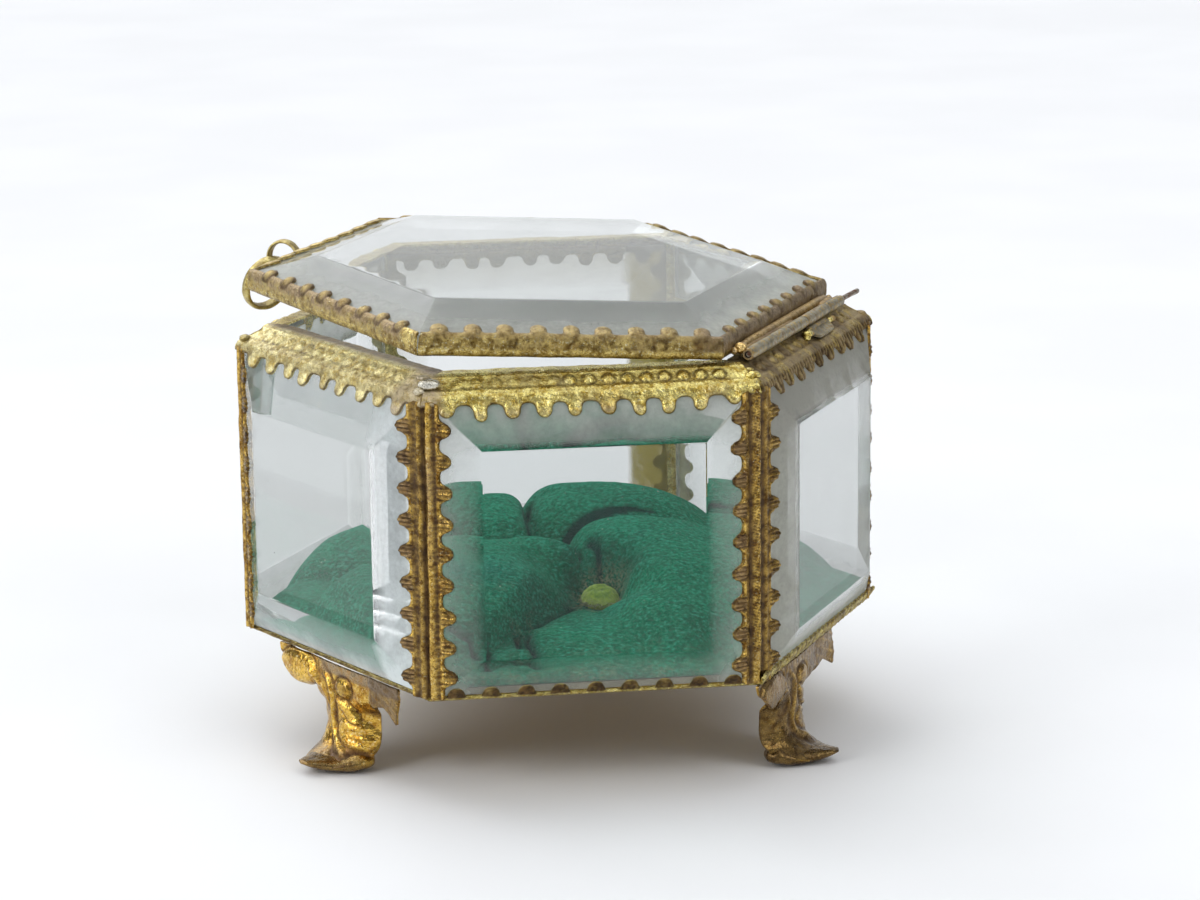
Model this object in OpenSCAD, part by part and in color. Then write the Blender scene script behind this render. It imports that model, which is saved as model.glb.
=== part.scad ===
// Six-sided casket of thick bevelled glass panes held in stamped gilt-brass strips.
// Three stamped feet, a tufted pad inside, a bevelled glass lid on a wire-pin hinge
// and a small pull ring. Millimetres, +Z up, front face towards -Y.

/* [Body] */
// Distance from the axis to a corner line of the box, which is also the length of a side
corner_r = 45; // [42:0.5:48]
// Height of the shoulder edge above the bottom frame
wall_h = 42.4; // [38:0.2:48]
// Height from the shoulder edge up to the flat rim the lid sits on
shoulder_rise = 2.0; // [1.6:0.1:2.4]
// Radius to the corner of the flat rim
rim_r = 41; // [40.6:0.1:41.4]
// Thickness of the sheet the strips are stamped from
sheet = 0.35; // [0.25:0.05:0.4]

/* [Glass] */
// How far the flat of a pane stands out from the corner line's plane
pane_proud = 3.0; // [2:0.1:3.4]
// Thickness of a pane at its flat centre
pane_t = 4.3; // [3.8:0.1:4.6]
// Half width of the flat of an ordinary pane
flat_half = 15; // [13:0.5:17]
// Height of the lower edge of a pane's flat
flat_lo = 6.4; // [5:0.2:8]
// Height of the upper edge of a pane's flat
flat_hi = 35.2; // [32:0.2:37]

/* [Lid] */
// Distance from the lid's axis to its corner
lid_r = 41.3; // [41:0.1:41.5]
// Height of the lid strip's outer wall
lid_wall = 3.1; // [2.8:0.1:3.4]
// Height of the lid glass's flat above the underside of the lid
lid_top = 5.65; // [5:0.05:6.2]
// Distance of the lid's centre from the box axis, away from the hinge
lid_back = 2.0; // [1.6:0.1:2.4]
// Distance of the lid's centre from the box axis, along the hinge towards the front
lid_side = 1.5; // [0:0.1:2]
// Angle at which the lid stands ajar at rest
lid_ajar = 3.7; // [0:0.1:5]
// Gap under the closed lid
lid_gap = 0.15; // [0.1:0.05:0.3]

/* [Hinge] */
// Distance of the hinge axis from the box axis
hinge_n = 36.2; // [36:0.1:36.4]
// Height of the hinge axis above the flat rim
hinge_up = 0.85; // [0.8:0.05:1]
// Outer radius of the hinge tubes
knuckle_r = 0.9; // [0.8:0.05:0.95]
// Radius of the wire pin
pin_r = 0.38; // [0.3:0.02:0.42]

/* [Pull] */
// Outer radius of the pull ring
ring_r = 4.1; // [3.7:0.1:4.2]
// Width of the ring's band
ring_w = 1.6; // [1.3:0.1:1.6]
// Outer radius of the eye that carries the ring
eye_r = 2.6; // [2.5:0.1:2.8]

/* [Feet] */
// Height of the feet
foot_h = 14.8; // [12:0.1:20]
// Shift of the right front foot along its side, towards the front corner
right_foot_shift = 8.2; // [0:0.2:8.4]

/* [Pad] */
// Height of the pad's crown above the bottom frame
pad_top = 15.4; // [10:0.2:18]
// Distance from the axis to the pad's corner
pad_r = 42.6; // [38:0.2:42.8]
// Place of the tuft from the axis, to the right
tuft_x = 4; // [0:0.5:8]
// Place of the tuft from the axis, towards the back
tuft_y = -12.5; // [-14:0.5:0]

/* [Hidden] */

// Offsets that bring the middle of the whole object to the origin, feet on z = 0
mid_x = 0; mid_y = 1.715;
gold = [0.80, 0.62, 0.22]; dull = [0.55, 0.45, 0.30]; lead = [0.50, 0.48, 0.44];
clear = [0.82, 0.88, 0.87, 0.35];

t30 = tan(30);
face_w = corner_r * cos(30);            // apothem of the corner line
half = corner_r / 2;                     // half of a side
pane_out = face_w + pane_proud;          // outer plane of a pane's flat
pane_in = pane_out - pane_t;             // inner plane of a pane
edge_c = face_w - 0.37;                  // where the bevels would meet the corner line
pane_u = pane_in * t30 - 0.37;           // half width of a pane
pane_z0 = 0.92; pane_z1 = wall_h - 0.4;
rim_z = wall_h + shoulder_rise;          // flat rim
rim_w = rim_r * cos(30);
lip_w = 33.2;                            // inner edge of the flat rim
slope_top = atan((pane_out - edge_c) / (wall_h - flat_hi));
slope_bot = atan((pane_out - edge_c) / flat_lo);
slope_side = atan((pane_out - edge_c) / (half - flat_half));

// Hinge line: through hinge_n along the normal of the right front side
hn = [cos(30), -sin(30), 0]; ht = [sin(30), cos(30), 0];
hinge_z = rim_z + hinge_up;
lid_z = rim_z + lid_gap;                 // underside of the closed lid
lid_w = lid_r * cos(30);
lid_edge = lid_w - 0.45;                 // apothem of the lid glass
lid_edge_c = 2.7;                        // height of the lid glass's thin edge
lid_flats = [26, 27.3, 27.8, 26.5, 26.8, 28];  // apothems of the flat's six sides

module place() { translate([-mid_x, -mid_y, foot_h]) children(); }
module side(k) { rotate([0, 0, 60 * k]) children(); }
// Space in front of one side, between its two corner planes
module wedge(gap = 0.03, far = 60) {
  translate([0, 0, -30]) linear_extrude(height = 120)
    polygon([[0, -gap * 2], [-far * t30 + gap, -far - gap], [far * t30 - gap, -far - gap]]);
}
// Section drawn as [outward distance, height], run along the side
module run(len, pts) {
  rotate([90, 0, 90]) linear_extrude(height = len, center = true)
    polygon([for (p = pts) [-p[0], p[1]]]);
}
// Closed lid's frame, then the ajar pose about the hinge line
module lid_place() {
  place() translate(hn * hinge_n + [0, 0, hinge_z]) rotate(a = lid_ajar, v = ht)
    translate(-hn * hinge_n - [0, 0, hinge_z])
      translate([0, 0, lid_z] - hn * lid_back - ht * lid_side) children();
}
// Frame whose X runs along the hinge line and whose Y points away from the box
module hinge_frame() { rotate([0, 0, 60]) children(); }

// ---------- glass ----------
module pane(k, l = flat_half, r = flat_half, lo = flat_lo, hi = flat_hi) {
  we = pane_out - (half - flat_half - (half - pane_u)) * tan(slope_side);
  wt = pane_out - (pane_z1 - hi) * (pane_out - edge_c) / (wall_h - hi);
  wb = pane_out - (lo - pane_z0) * (pane_out - edge_c) / lo;
  wl = pane_out - (pane_u - l) * (pane_out - edge_c) / (half - l);
  wr = pane_out - (pane_u - r) * (pane_out - edge_c) / (half - r);
  color(clear) place() side(k) intersection() {
    run(2 * pane_u, [[pane_in, pane_z0], [pane_in, pane_z1], [wt, pane_z1],
      [pane_out, hi], [pane_out, lo], [wb, pane_z0]]);
    linear_extrude(height = wall_h + 10)
      polygon([[-pane_u, -pane_in], [pane_u, -pane_in], [pane_u, -wr],
        [r, -pane_out], [-l, -pane_out], [-pane_u, -wl]]);
  }
}
module lid_glass() {
  color(clear) lid_place() intersection_for(k = [0:5])
    side(k) run(140, [[-60, 0.45], [-60, lid_top], [lid_flats[k], lid_top],
      [lid_edge, lid_edge_c], [lid_edge, 0.45]]);
}

// ---------- stamped strips ----------
// Row of round-ended fingers in the plane, pointing to -y, roots at y = 0
module fingers(n, pitch, w, len) {
  for (i = [0:n - 1]) translate([(i - (n - 1) / 2) * pitch, 0]) intersection() {
    union() {
      translate([-w / 2, -len + w / 2]) square([w, len + w]);
      translate([0, -len + w / 2]) circle(d = w, $fn = 32);
    }
    translate([-w, -len - 1]) square([2 * w, len + 1.1]);
  }
}
// by side from the front, counter-clockwise from above: number, spacing and length of the fingers
top_teeth = [8, 9, 9, 9, 8, 9];
top_pitch = [4.22, 4.1, 4.4, 4.4, 4.65, 4.4];
top_len = [2.5, 1.8, 2.3, 2.3, 2.5, 2.3];
module top_rail(k) {
  color(gold) place() side(k) intersection() {
    wedge();
    union() {
      // beaded slope and flat rim
      run(2 * corner_r, [[face_w, wall_h], [rim_w, rim_z], [lip_w, rim_z], [lip_w, rim_z - 0.45],
        [rim_w - 0.2, rim_z - 0.45], [face_w - 0.35, wall_h - 0.28], [face_w, wall_h - 0.28]]);
      // leaf on the upper bevel with its fingers
      translate([0, -edge_c - 0.04, wall_h]) rotate([90 - slope_top, 0, 0])
        linear_extrude(height = sheet) union() {
          translate([-corner_r, -1.1]) square([2 * corner_r, 1.1]);
          translate([0, -1.0]) fingers(top_teeth[k], top_pitch[k], 2.0, top_len[k]);
        }
      // beads along the slope
      for (i = [-8:8]) if (k != 1 || i < 1 || i > 5) translate([i * 2.5, -(face_w + rim_w) / 2, (wall_h + rim_z) / 2 - 0.1])
        sphere(r = 0.72, $fn = 24);
    }
  }
}
module bottom_rail(k) {
  color(dull) place() side(k) intersection() {
    wedge();
    union() {
      run(2 * corner_r, [[face_w, 0], [face_w, 0.5], [face_w - 0.3, 0.5], [face_w - 0.3, sheet], [34, sheet], [34, 0]]);
      translate([0, -edge_c - 0.04, 0]) rotate([90 + slope_bot, 0, 0])
        linear_extrude(height = sheet) union() {
          translate([-corner_r, 0.25]) square([2 * corner_r, 0.4]);
          translate([0, 0.6]) mirror([0, 1]) fingers(8, 4.7, 2.3, 1.2);
        }
    }
  }
}
// Corner post: two leaves on the side bevels, a rib on the corner and a web between the panes
module post_leaf() {
  translate([half, -edge_c - 0.04, 0]) rotate([0, 0, slope_side]) rotate([90, 0, 0])
    linear_extrude(height = sheet) union() {
      polygon([[0, 1.1], [0, wall_h - 1.3], [-1.0, wall_h - 1.4], [-3.0, wall_h - 3.1], [-3.0, 2.3], [-1.8, 1.1]]);
      for (i = [0:8]) translate([-2.9, 3.5 + i * 4.3]) {
        translate([-0.6, -1.1]) square([0.7, 2.2]);
        translate([-0.6, 0]) circle(d = 2.2, $fn = 32);
      }
    }
}
module post(k) {
  color(gold) place() side(k) {
    intersection() { post_leaf(); wedge(0); }
    side(1) mirror([1, 0, 0]) intersection() { post_leaf(); wedge(0); }
    rotate([0, 0, -60]) {
      translate([corner_r - 0.35, 0, 1.1]) cylinder(r = 0.55, h = wall_h - 2.5, $fn = 32);
      translate([corner_r - 1.75, -0.33, 1.0]) cube([1.5, 0.66, wall_h - 1.5]);
    }
  }
}
// Lid strip: lower lip, outer wall and a toothed leaf on the lid's bevel
module lid_rail(k) {
  a = atan((lid_top - lid_edge_c) / (lid_edge - lid_flats[k]));
  color(gold) lid_place() side(k) intersection() {
    wedge(0.02);
    union() {
      run(2 * corner_r, [[lid_w, 0.1], [lid_w, lid_wall], [lid_edge + 0.02, lid_wall + 0.12], [lid_edge + 0.02, 0.4],
        [lid_edge - 2.0, 0.4], [lid_edge - 2.0, 0], [lid_w - 0.1, 0]]);
      translate([0, -lid_edge - 0.1, lid_edge_c + 0.06]) rotate([a, 0, 0])
        linear_extrude(height = sheet) union() {
          translate([-corner_r, 0]) square([2 * corner_r, 0.6]);
          translate([k == 0 ? 0.2 : 0, 0.5]) mirror([0, 1]) fingers(k == 0 ? 9 : 8, k == 0 ? 4.42 : 4.6, 2.2, 1.9);
        }
    }
  }
}

// ---------- floor and pad ----------
module base_plate() {
  color(dull) place() translate([0, 0, sheet + 0.02]) rotate([0, 0, 0])
    linear_extrude(height = 0.5) circle(r = corner_r - 0.95, $fn = 6);
}
module pad_board() {
  color([0.60, 0.52, 0.40]) place() translate([0, 0, 0.9])
    linear_extrude(height = 1.1) circle(r = pad_r - 0.6, $fn = 6);
}
// Cushion: low at the front, high at the back, pulled down at the tuft
module pad() {
  color([0.05, 0.36, 0.28]) place() difference() {
    hull() {
      translate([0, 0, 2.1]) linear_extrude(height = 4.4) circle(r = pad_r, $fn = 6);
      translate([0, 2, 2.1]) linear_extrude(height = pad_top - 5.0) circle(r = pad_r - 5.5, $fn = 6);
      translate([0, 4, 2.1]) linear_extrude(height = pad_top - 2.1) circle(r = pad_r - 14, $fn = 6);
    }
    translate([tuft_x, tuft_y, 5.0]) cylinder(r1 = 4.2, r2 = 9, h = 14, $fn = 48);
  }
}
module pad_button() {
  color([0.48, 0.58, 0.16]) place() translate([tuft_x, tuft_y, 5.2]) {
    cylinder(r = 2.7, h = 1.0, $fn = 48);
    translate([0, 0, 1.0]) cylinder(r1 = 2.7, r2 = 1.6, h = 0.9, $fn = 48);
  }
}

// ---------- feet ----------
// Hollow stamped leg with a toe pointing outwards and two leaf wings under the bottom rail
module foot(k, shift = 0) {
  h = foot_h;
  color(gold) place() side(k) translate([shift, 0, 0]) {
    difference() {
      intersection() {
        run(20, [[36.4, 0], [38.9, 0], [39.3, -0.18 * h], [39.0, -0.42 * h], [38.7, -0.66 * h], [39.6, -0.79 * h],
          [41.5, -0.86 * h], [44.0, -0.87 * h], [45.3, -0.83 * h], [45.4, -0.88 * h], [43.2, -0.955 * h], [41.0, -0.985 * h],
          [39.7, -h], [36.8, -h], [35.9, -0.96 * h], [35.6, -0.80 * h], [35.6, -0.54 * h], [35.9, -0.25 * h]]);
        rotate([90, 0, 0]) linear_extrude(height = 60)
          polygon([[-8.4, 0], [8.4, 0], [7.6, -0.2 * h], [6.7, -0.36 * h], [6.2, -0.6 * h], [6.4, -0.8 * h],
            [5.6, -h], [-5.6, -h], [-6.4, -0.8 * h], [-6.2, -0.6 * h], [-6.7, -0.36 * h], [-7.6, -0.2 * h]]);
        // bulging front, with a toe that narrows to a rounded tip
        linear_extrude(height = 80, center = true)
          polygon([[-9, -30], [9, -30], [9, -36.6], [6.2, -36.9], [5.2, -38.6], [3.6, -40.4], [2.4, -43], [1.0, -45.4],
            [-1.0, -45.4], [-2.4, -43], [-3.6, -40.4], [-5.2, -38.6], [-6.2, -36.9], [-9, -36.6]]);
      }
      // hollow back
      intersection() {
        run(10.4, [[30, -0.06 * h], [38.0, -0.06 * h], [38.4, -0.3 * h], [37.9, -0.62 * h], [38.2, -0.88 * h], [30, -0.88 * h]]);
        linear_extrude(height = 80, center = true)
          polygon([[-5.2, -30], [5.2, -30], [5.2, -36.4], [3.6, -38.4], [-3.6, -38.4], [-5.2, -36.4]]);
      }
    }
    rotate([90, 0, 0]) translate([0, 0, 38.2]) linear_extrude(height = 0.6)
      polygon([[-14.6, 0], [15, 0], [15.2, -0.15 * h], [13.4, -0.31 * h], [11.6, -0.24 * h], [9.4, -0.27 * h], [7.2, -0.33 * h],
        [4.2, -0.36 * h], [-4.2, -0.36 * h], [-6.8, -0.30 * h], [-8.6, -0.25 * h], [-10.4, -0.29 * h], [-12.2, -0.22 * h], [-14.2, -0.12 * h]]);
  }
}

// ---------- hinge ----------
module tube(a0, a1, bore) {
  hinge_frame() translate([a0, -hinge_n, hinge_z]) rotate([0, 90, 0]) difference() {
    cylinder(r = knuckle_r, h = a1 - a0, $fn = 48);
    translate([0, 0, -1]) cylinder(r = bore, h = a1 - a0 + 2, $fn = 48);
  }
}
module hinge_knuckle_box() {
  s = shoulder_rise / (face_w - rim_w);
  color(lead) place() {
    tube(2.95, 11.95, pin_r + 0.01);
    // tab soldered on the shoulder
    difference() {
      hinge_frame() translate([7.45, 0, 0]) run(8.6, [[rim_w + 0.35, rim_z - 0.35 * s + 0.03], [face_w - 0.6, wall_h + 0.6 * s + 0.03],
        [face_w - 0.5, wall_h + 0.6 * s + 0.35], [hinge_n + 0.75, hinge_z - 0.35], [rim_w + 0.35, hinge_z - 0.7]]);
      hinge_frame() translate([-40, -hinge_n, hinge_z]) rotate([0, 90, 0]) cylinder(r = knuckle_r - 0.1, h = 80, $fn = 48);
    }
  }
}
module hinge_pin() {
  color(dull) place() hinge_frame() translate([-19.0, -hinge_n, hinge_z]) rotate([0, 90, 0])
    cylinder(r = pin_r, h = 43.6, $fn = 48);
}
// The three lid-side hinge pieces are drawn in the closed lid's place, then set ajar
module ajar() {
  place() translate(hn * hinge_n + [0, 0, hinge_z]) rotate(a = lid_ajar, v = ht)
    translate(-hn * hinge_n - [0, 0, hinge_z]) children();
}
module hinge_knuckle_long() { color(lead) ajar() tube(-19.25, 2.80, pin_r + 0.04); }
module hinge_knuckle_short() { color(lead) ajar() tube(12.10, 18.2, pin_r + 0.04); }
module hinge_leaf() {
  w0 = lid_w - lid_back + 0.03;
  color([0.70, 0.50, 0.24]) ajar() difference() {
    union() {
      hinge_frame() translate([-0.5, 0, 0]) run(36, [[w0, hinge_z - 0.45], [w0, hinge_z + 0.9], [w0 + 0.5, hinge_z + 1.1],
        [hinge_n - 1.1, hinge_z + 0.75], [hinge_n - 1.1, hinge_z - 0.45]]);
      hinge_frame() translate([-8.4, 0, 0]) run(20.2, [[w0, hinge_z - 0.45], [w0, hinge_z + 0.7], [hinge_n - 0.5, hinge_z + 0.7], [hinge_n - 0.5, hinge_z - 0.45]]);
      hinge_frame() translate([14.9, 0, 0]) run(5.0, [[w0, hinge_z - 0.45], [w0, hinge_z + 0.7], [hinge_n - 0.5, hinge_z + 0.7], [hinge_n - 0.5, hinge_z - 0.45]]);
    }
    hinge_frame() translate([-40, -hinge_n, hinge_z]) rotate([0, 90, 0]) cylinder(r = knuckle_r + 0.01, h = 80, $fn = 48);
  }
}

// ---------- pull ----------
eye_a = -6;                              // place of the eye along its side
eye_n = lid_w + lid_back + eye_r - 0.1;  // distance of the eye's centre from the box axis
eye_c = 1.5;                             // height of the eye's centre above the lid's underside
module pull_eye() {
  color(gold) ajar() difference() {
    hinge_frame() translate([eye_a, eye_n, lid_z + eye_c]) rotate([0, 90, 0]) difference() {
      cylinder(r = eye_r, h = 1.6, center = true, $fn = 64);
      cylinder(r = eye_r - 0.5, h = 4, center = true, $fn = 64);
    }
    hinge_frame() translate([eye_a - 5, lid_w + lid_back - 4.97, lid_z - 5]) cube([10, 5, 12]);
  }
}
// Ring hanging in the eye, turned a little, swung to one side and leaning outwards
ring_yaw = -18; ring_swing = 27; ring_lean = 16;
ring_t = 0.7;
module pull_ring() {
  color(dull) ajar() hinge_frame() translate([eye_a, eye_n + 0.45, lid_z + eye_c - 0.55])
    rotate([0, 0, ring_yaw]) rotate([0, ring_swing, 0]) rotate([ring_lean, 0, 0])
      translate([0, 0, -ring_r + ring_t / 2]) rotate([90, 0, 0]) rotate_extrude($fn = 64)
        translate([ring_r - ring_t / 2, 0]) polygon([
          [-ring_t / 2, -ring_w / 2 + 0.25], [-ring_t / 2 + 0.2, -ring_w / 2], [ring_t / 2 - 0.2, -ring_w / 2], [ring_t / 2, -ring_w / 2 + 0.25],
          [ring_t / 2, ring_w / 2 - 0.25], [ring_t / 2 - 0.2, ring_w / 2], [-ring_t / 2 + 0.2, ring_w / 2], [-ring_t / 2, ring_w / 2 - 0.25]]);
}

pane(0);  // pane_front
pane(1);  // pane_right_front
pane(2);  // pane_right_back
pane(3);  // pane_back
pane(4);  // pane_left_back
pane(5, flat_half, flat_half - 1.0, flat_lo + 1.0, flat_hi - 1.4);  // pane_left_front
post(0);  // post_front_right
post(1);  // post_right
post(2);  // post_back_right
post(3);  // post_back_left
post(4);  // post_left
post(5);  // post_front_left
top_rail(0);  // top_rail_front
top_rail(1);  // top_rail_right_front
top_rail(2);  // top_rail_right_back
top_rail(3);  // top_rail_back
top_rail(4);  // top_rail_left_back
top_rail(5);  // top_rail_left_front
bottom_rail(0);  // bottom_rail_front
bottom_rail(1);  // bottom_rail_right_front
bottom_rail(2);  // bottom_rail_right_back
bottom_rail(3);  // bottom_rail_back
bottom_rail(4);  // bottom_rail_left_back
bottom_rail(5);  // bottom_rail_left_front
base_plate();
pad_board();
pad();
pad_button();
foot(5);  // foot_left
foot(1, -right_foot_shift);  // foot_right
foot(3);  // foot_back
hinge_knuckle_box();
hinge_pin();
lid_glass();
lid_rail(0);  // lid_rail_front
lid_rail(1);  // lid_rail_right_front
lid_rail(2);  // lid_rail_right_back
lid_rail(3);  // lid_rail_back
lid_rail(4);  // lid_rail_left_back
lid_rail(5);  // lid_rail_left_front
hinge_leaf();
hinge_knuckle_long();
hinge_knuckle_short();
pull_eye();
pull_ring();
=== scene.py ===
import math
import bmesh
import bpy
import numpy as np
from mathutils import Matrix, Vector


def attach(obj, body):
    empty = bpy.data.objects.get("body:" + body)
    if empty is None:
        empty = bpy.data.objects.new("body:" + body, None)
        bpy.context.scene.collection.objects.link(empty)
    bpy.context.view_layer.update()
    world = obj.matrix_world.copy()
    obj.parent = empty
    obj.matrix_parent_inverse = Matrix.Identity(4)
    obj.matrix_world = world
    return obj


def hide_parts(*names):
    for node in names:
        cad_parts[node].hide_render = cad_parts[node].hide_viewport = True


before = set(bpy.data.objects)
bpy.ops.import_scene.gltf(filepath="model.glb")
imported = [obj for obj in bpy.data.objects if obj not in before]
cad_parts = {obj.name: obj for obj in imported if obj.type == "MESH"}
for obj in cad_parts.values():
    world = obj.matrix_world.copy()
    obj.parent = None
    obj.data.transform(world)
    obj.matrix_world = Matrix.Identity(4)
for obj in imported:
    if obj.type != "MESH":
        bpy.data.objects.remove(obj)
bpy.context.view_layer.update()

# ---------------------------------------------------------------- sizes, in millimetres, as in the CAD
MID_Y = 1.715
FOOT_H = 14.8
T30 = math.tan(math.radians(30))
C30 = math.cos(math.radians(30))
CORNER_R, WALL_H, RISE, RIM_R = 45.0, 42.4, 2.0, 41.0
FACE_W, HALF = CORNER_R * C30, 22.5
PANE_OUT = FACE_W + 3.0
PANE_IN = PANE_OUT - 4.3
EDGE_C = FACE_W - 0.37
PANE_U = PANE_IN * T30 - 0.37
RIM_Z = WALL_H + RISE
RIM_W = RIM_R * C30
LID_R, LID_TOP, LID_BACK, LID_SIDE, AJAR, LID_GAP = 41.3, 5.65, 2.0, 1.5, 3.7, 0.15
LID_W = LID_R * C30
LID_EDGE, LID_EDGE_C = LID_W - 0.45, 2.7
LID_FLATS = [26, 27.3, 27.8, 26.5, 26.8, 28]
LID_Z = RIM_Z + LID_GAP
HINGE_N, HINGE_Z = 36.2, RIM_Z + 0.85
KNUCKLE_R, PIN_R = 0.9, 0.38
FLAT_LO, FLAT_HI, FLAT_HALF = 6.4, 35.2, 15.0
SLOPE_TOP = math.atan((PANE_OUT - EDGE_C) / (WALL_H - FLAT_HI))
SLOPE_BOT = math.atan((PANE_OUT - EDGE_C) / FLAT_LO)
SLOPE_SIDE = math.atan((PANE_OUT - EDGE_C) / (HALF - FLAT_HALF))
RIGHT_FOOT_SHIFT = 8.2
HN = np.array([C30, -0.5, 0.0])
HT = np.array([0.5, C30, 0.0])
HINGE_P = HN * HINGE_N + np.array([0, 0, HINGE_Z])
SIDES = ["front", "right_front", "right_back", "back", "left_back", "left_front"]
POSTS = ["front_right", "right", "back_right", "back_left", "left", "front_left"]
FRONT, RFRONT, RBACK, BACK, LBACK, LFRONT = range(6)


def rot_axis(axis, deg):
    a = np.asarray(axis, float)
    a = a / np.linalg.norm(a)
    t = math.radians(deg)
    K = np.array([[0, -a[2], a[1]], [a[2], 0, -a[0]], [-a[1], a[0], 0]])
    return np.eye(3) + math.sin(t) * K + (1 - math.cos(t)) * K @ K


def rotz(P, deg):
    return P @ rot_axis((0, 0, 1), deg).T


def to_box(P):
    return (np.asarray(P, float) + np.array([0, -MID_Y, FOOT_H])) * 0.001


R_AJAR = rot_axis(HT, AJAR)


def ajar(P):
    return (np.asarray(P, float) - HINGE_P) @ R_AJAR.T + HINGE_P


def lid_place(P):
    return to_box(ajar(np.asarray(P, float) + np.array([0, 0, LID_Z]) - HN * LID_BACK - HT * LID_SIDE))


def side_box(k):
    return lambda P: to_box(rotz(P, 60 * k))


def side_lid(k):
    return lambda P: lid_place(rotz(P, 60 * k))


def hinge_lid(P):
    return to_box(ajar(rotz(P, 60)))


def hinge_box(P):
    return to_box(rotz(P, 60))


# ---------------------------------------------------------------- noise and shapes
def hash01(I, seed):
    h = np.full(I.shape[0], (seed * 374761393 + 668265263) & 0xFFFFFFFF, np.uint64)
    for j in range(I.shape[1]):
        h = (h ^ ((I[:, j].astype(np.int64) & 0xFFFFFFFF).astype(np.uint64) * np.uint64(2654435761 + 40503 * j))) & np.uint64(0xFFFFFFFF)
        h = (h * np.uint64(2246822519)) & np.uint64(0xFFFFFFFF)
        h = h ^ (h >> np.uint64(15))
    h = (h * np.uint64(3266489917)) & np.uint64(0xFFFFFFFF)
    h = h ^ (h >> np.uint64(16))
    return h.astype(float) / 4294967295.0


def noise(P, size, seed=0, octaves=1):
    """Smooth noise from -1 to 1 over points in millimetres, size the width of a bump."""
    P = np.asarray(P, float)
    out = np.zeros(len(P))
    amp, total = 1.0, 0.0
    for o in range(octaves):
        q = P / size * 2 ** o
        i = np.floor(q).astype(np.int64)
        f = q - i
        u = f * f * (3 - 2 * f)
        acc = np.zeros(len(P))
        d = P.shape[1]
        for c in range(2 ** d):
            bits = [(c >> j) & 1 for j in range(d)]
            w = np.ones(len(P))
            for j, b in enumerate(bits):
                w = w * (u[:, j] if b else 1 - u[:, j])
            acc += w * hash01(i + np.array(bits), seed + 17 * o)
        out += amp * (acc * 2 - 1)
        total += amp
        amp *= 0.5
    return out / total


def smin(a, b, k):
    h = np.clip(0.5 + 0.5 * (b - a) / k, 0, 1)
    return b * (1 - h) + a * h - k * h * (1 - h)


def smax(a, b, k):
    return -smin(-a, -b, k)


def sstep(x, a, b):
    t = np.clip((x - a) / (b - a), 0, 1)
    return t * t * (3 - 2 * t)


def gauss(x, w):
    return np.exp(-(x / w) ** 2)


def seg_dist(X, Y, pts):
    """Distance to a polyline, and how far along it (0 to 1) the nearest point is."""
    best = np.full(np.shape(X), 1e9)
    along = np.zeros(np.shape(X))
    pts = np.asarray(pts, float)
    L = np.concatenate([[0], np.cumsum(np.hypot(*np.diff(pts, axis=0).T))])
    for i in range(len(pts) - 1):
        a, b = pts[i], pts[i + 1]
        ab = b - a
        t = np.clip(((X - a[0]) * ab[0] + (Y - a[1]) * ab[1]) / max(ab @ ab, 1e-12), 0, 1)
        d = np.hypot(X - a[0] - t * ab[0], Y - a[1] - t * ab[1])
        m = d < best
        best = np.where(m, d, best)
        along = np.where(m, (L[i] + t * (L[i + 1] - L[i])) / L[-1], along)
    return best, along


def smooth_line(pts, n=40):
    """Catmull-Rom curve through the points."""
    p = np.asarray(pts, float)
    p = np.vstack([2 * p[0] - p[1], p, 2 * p[-1] - p[-2]])
    out = []
    m = len(p) - 3
    for s in range(n + 1):
        x = s / n * m
        i = min(int(x), m - 1)
        t = x - i
        a, b, c, d = p[i:i + 4]
        out.append(0.5 * ((2 * b) + (c - a) * t + (2 * a - 5 * b + 4 * c - d) * t ** 2 + (3 * b - a - 3 * c + d) * t ** 3))
    return np.array(out)


class Profile:
    """A section line with rounded corners, run through by its length."""

    def __init__(self, pts, r):
        pts = [np.array(p, float) for p in pts]
        line = [pts[0]]
        for a, b, c in zip(pts, pts[1:], pts[2:]):
            ra = min(r, np.linalg.norm(b - a) * 0.48, np.linalg.norm(c - b) * 0.48)
            p, q = b + (a - b) / np.linalg.norm(a - b) * ra, b + (c - b) / np.linalg.norm(c - b) * ra
            for s in np.linspace(0, 1, 9):
                line.append((1 - s) ** 2 * p + 2 * s * (1 - s) * b + s * s * q)
        line.append(pts[-1])
        self.p = np.array(line)
        keep = np.concatenate([[True], np.hypot(*np.diff(self.p, axis=0).T) > 1e-6])
        self.p = self.p[keep]
        self.t = np.concatenate([[0], np.cumsum(np.hypot(*np.diff(self.p, axis=0).T))])
        self.length = self.t[-1]

    def at(self, t):
        return np.interp(t, self.t, self.p[:, 0]), np.interp(t, self.t, self.p[:, 1])

    def where(self, point):
        """The length at which the line is nearest to a point."""
        tt = np.linspace(0, self.length, 2000)
        w, z = self.at(tt)
        return tt[np.argmin((w - point[0]) ** 2 + (z - point[1]) ** 2)]


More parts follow.
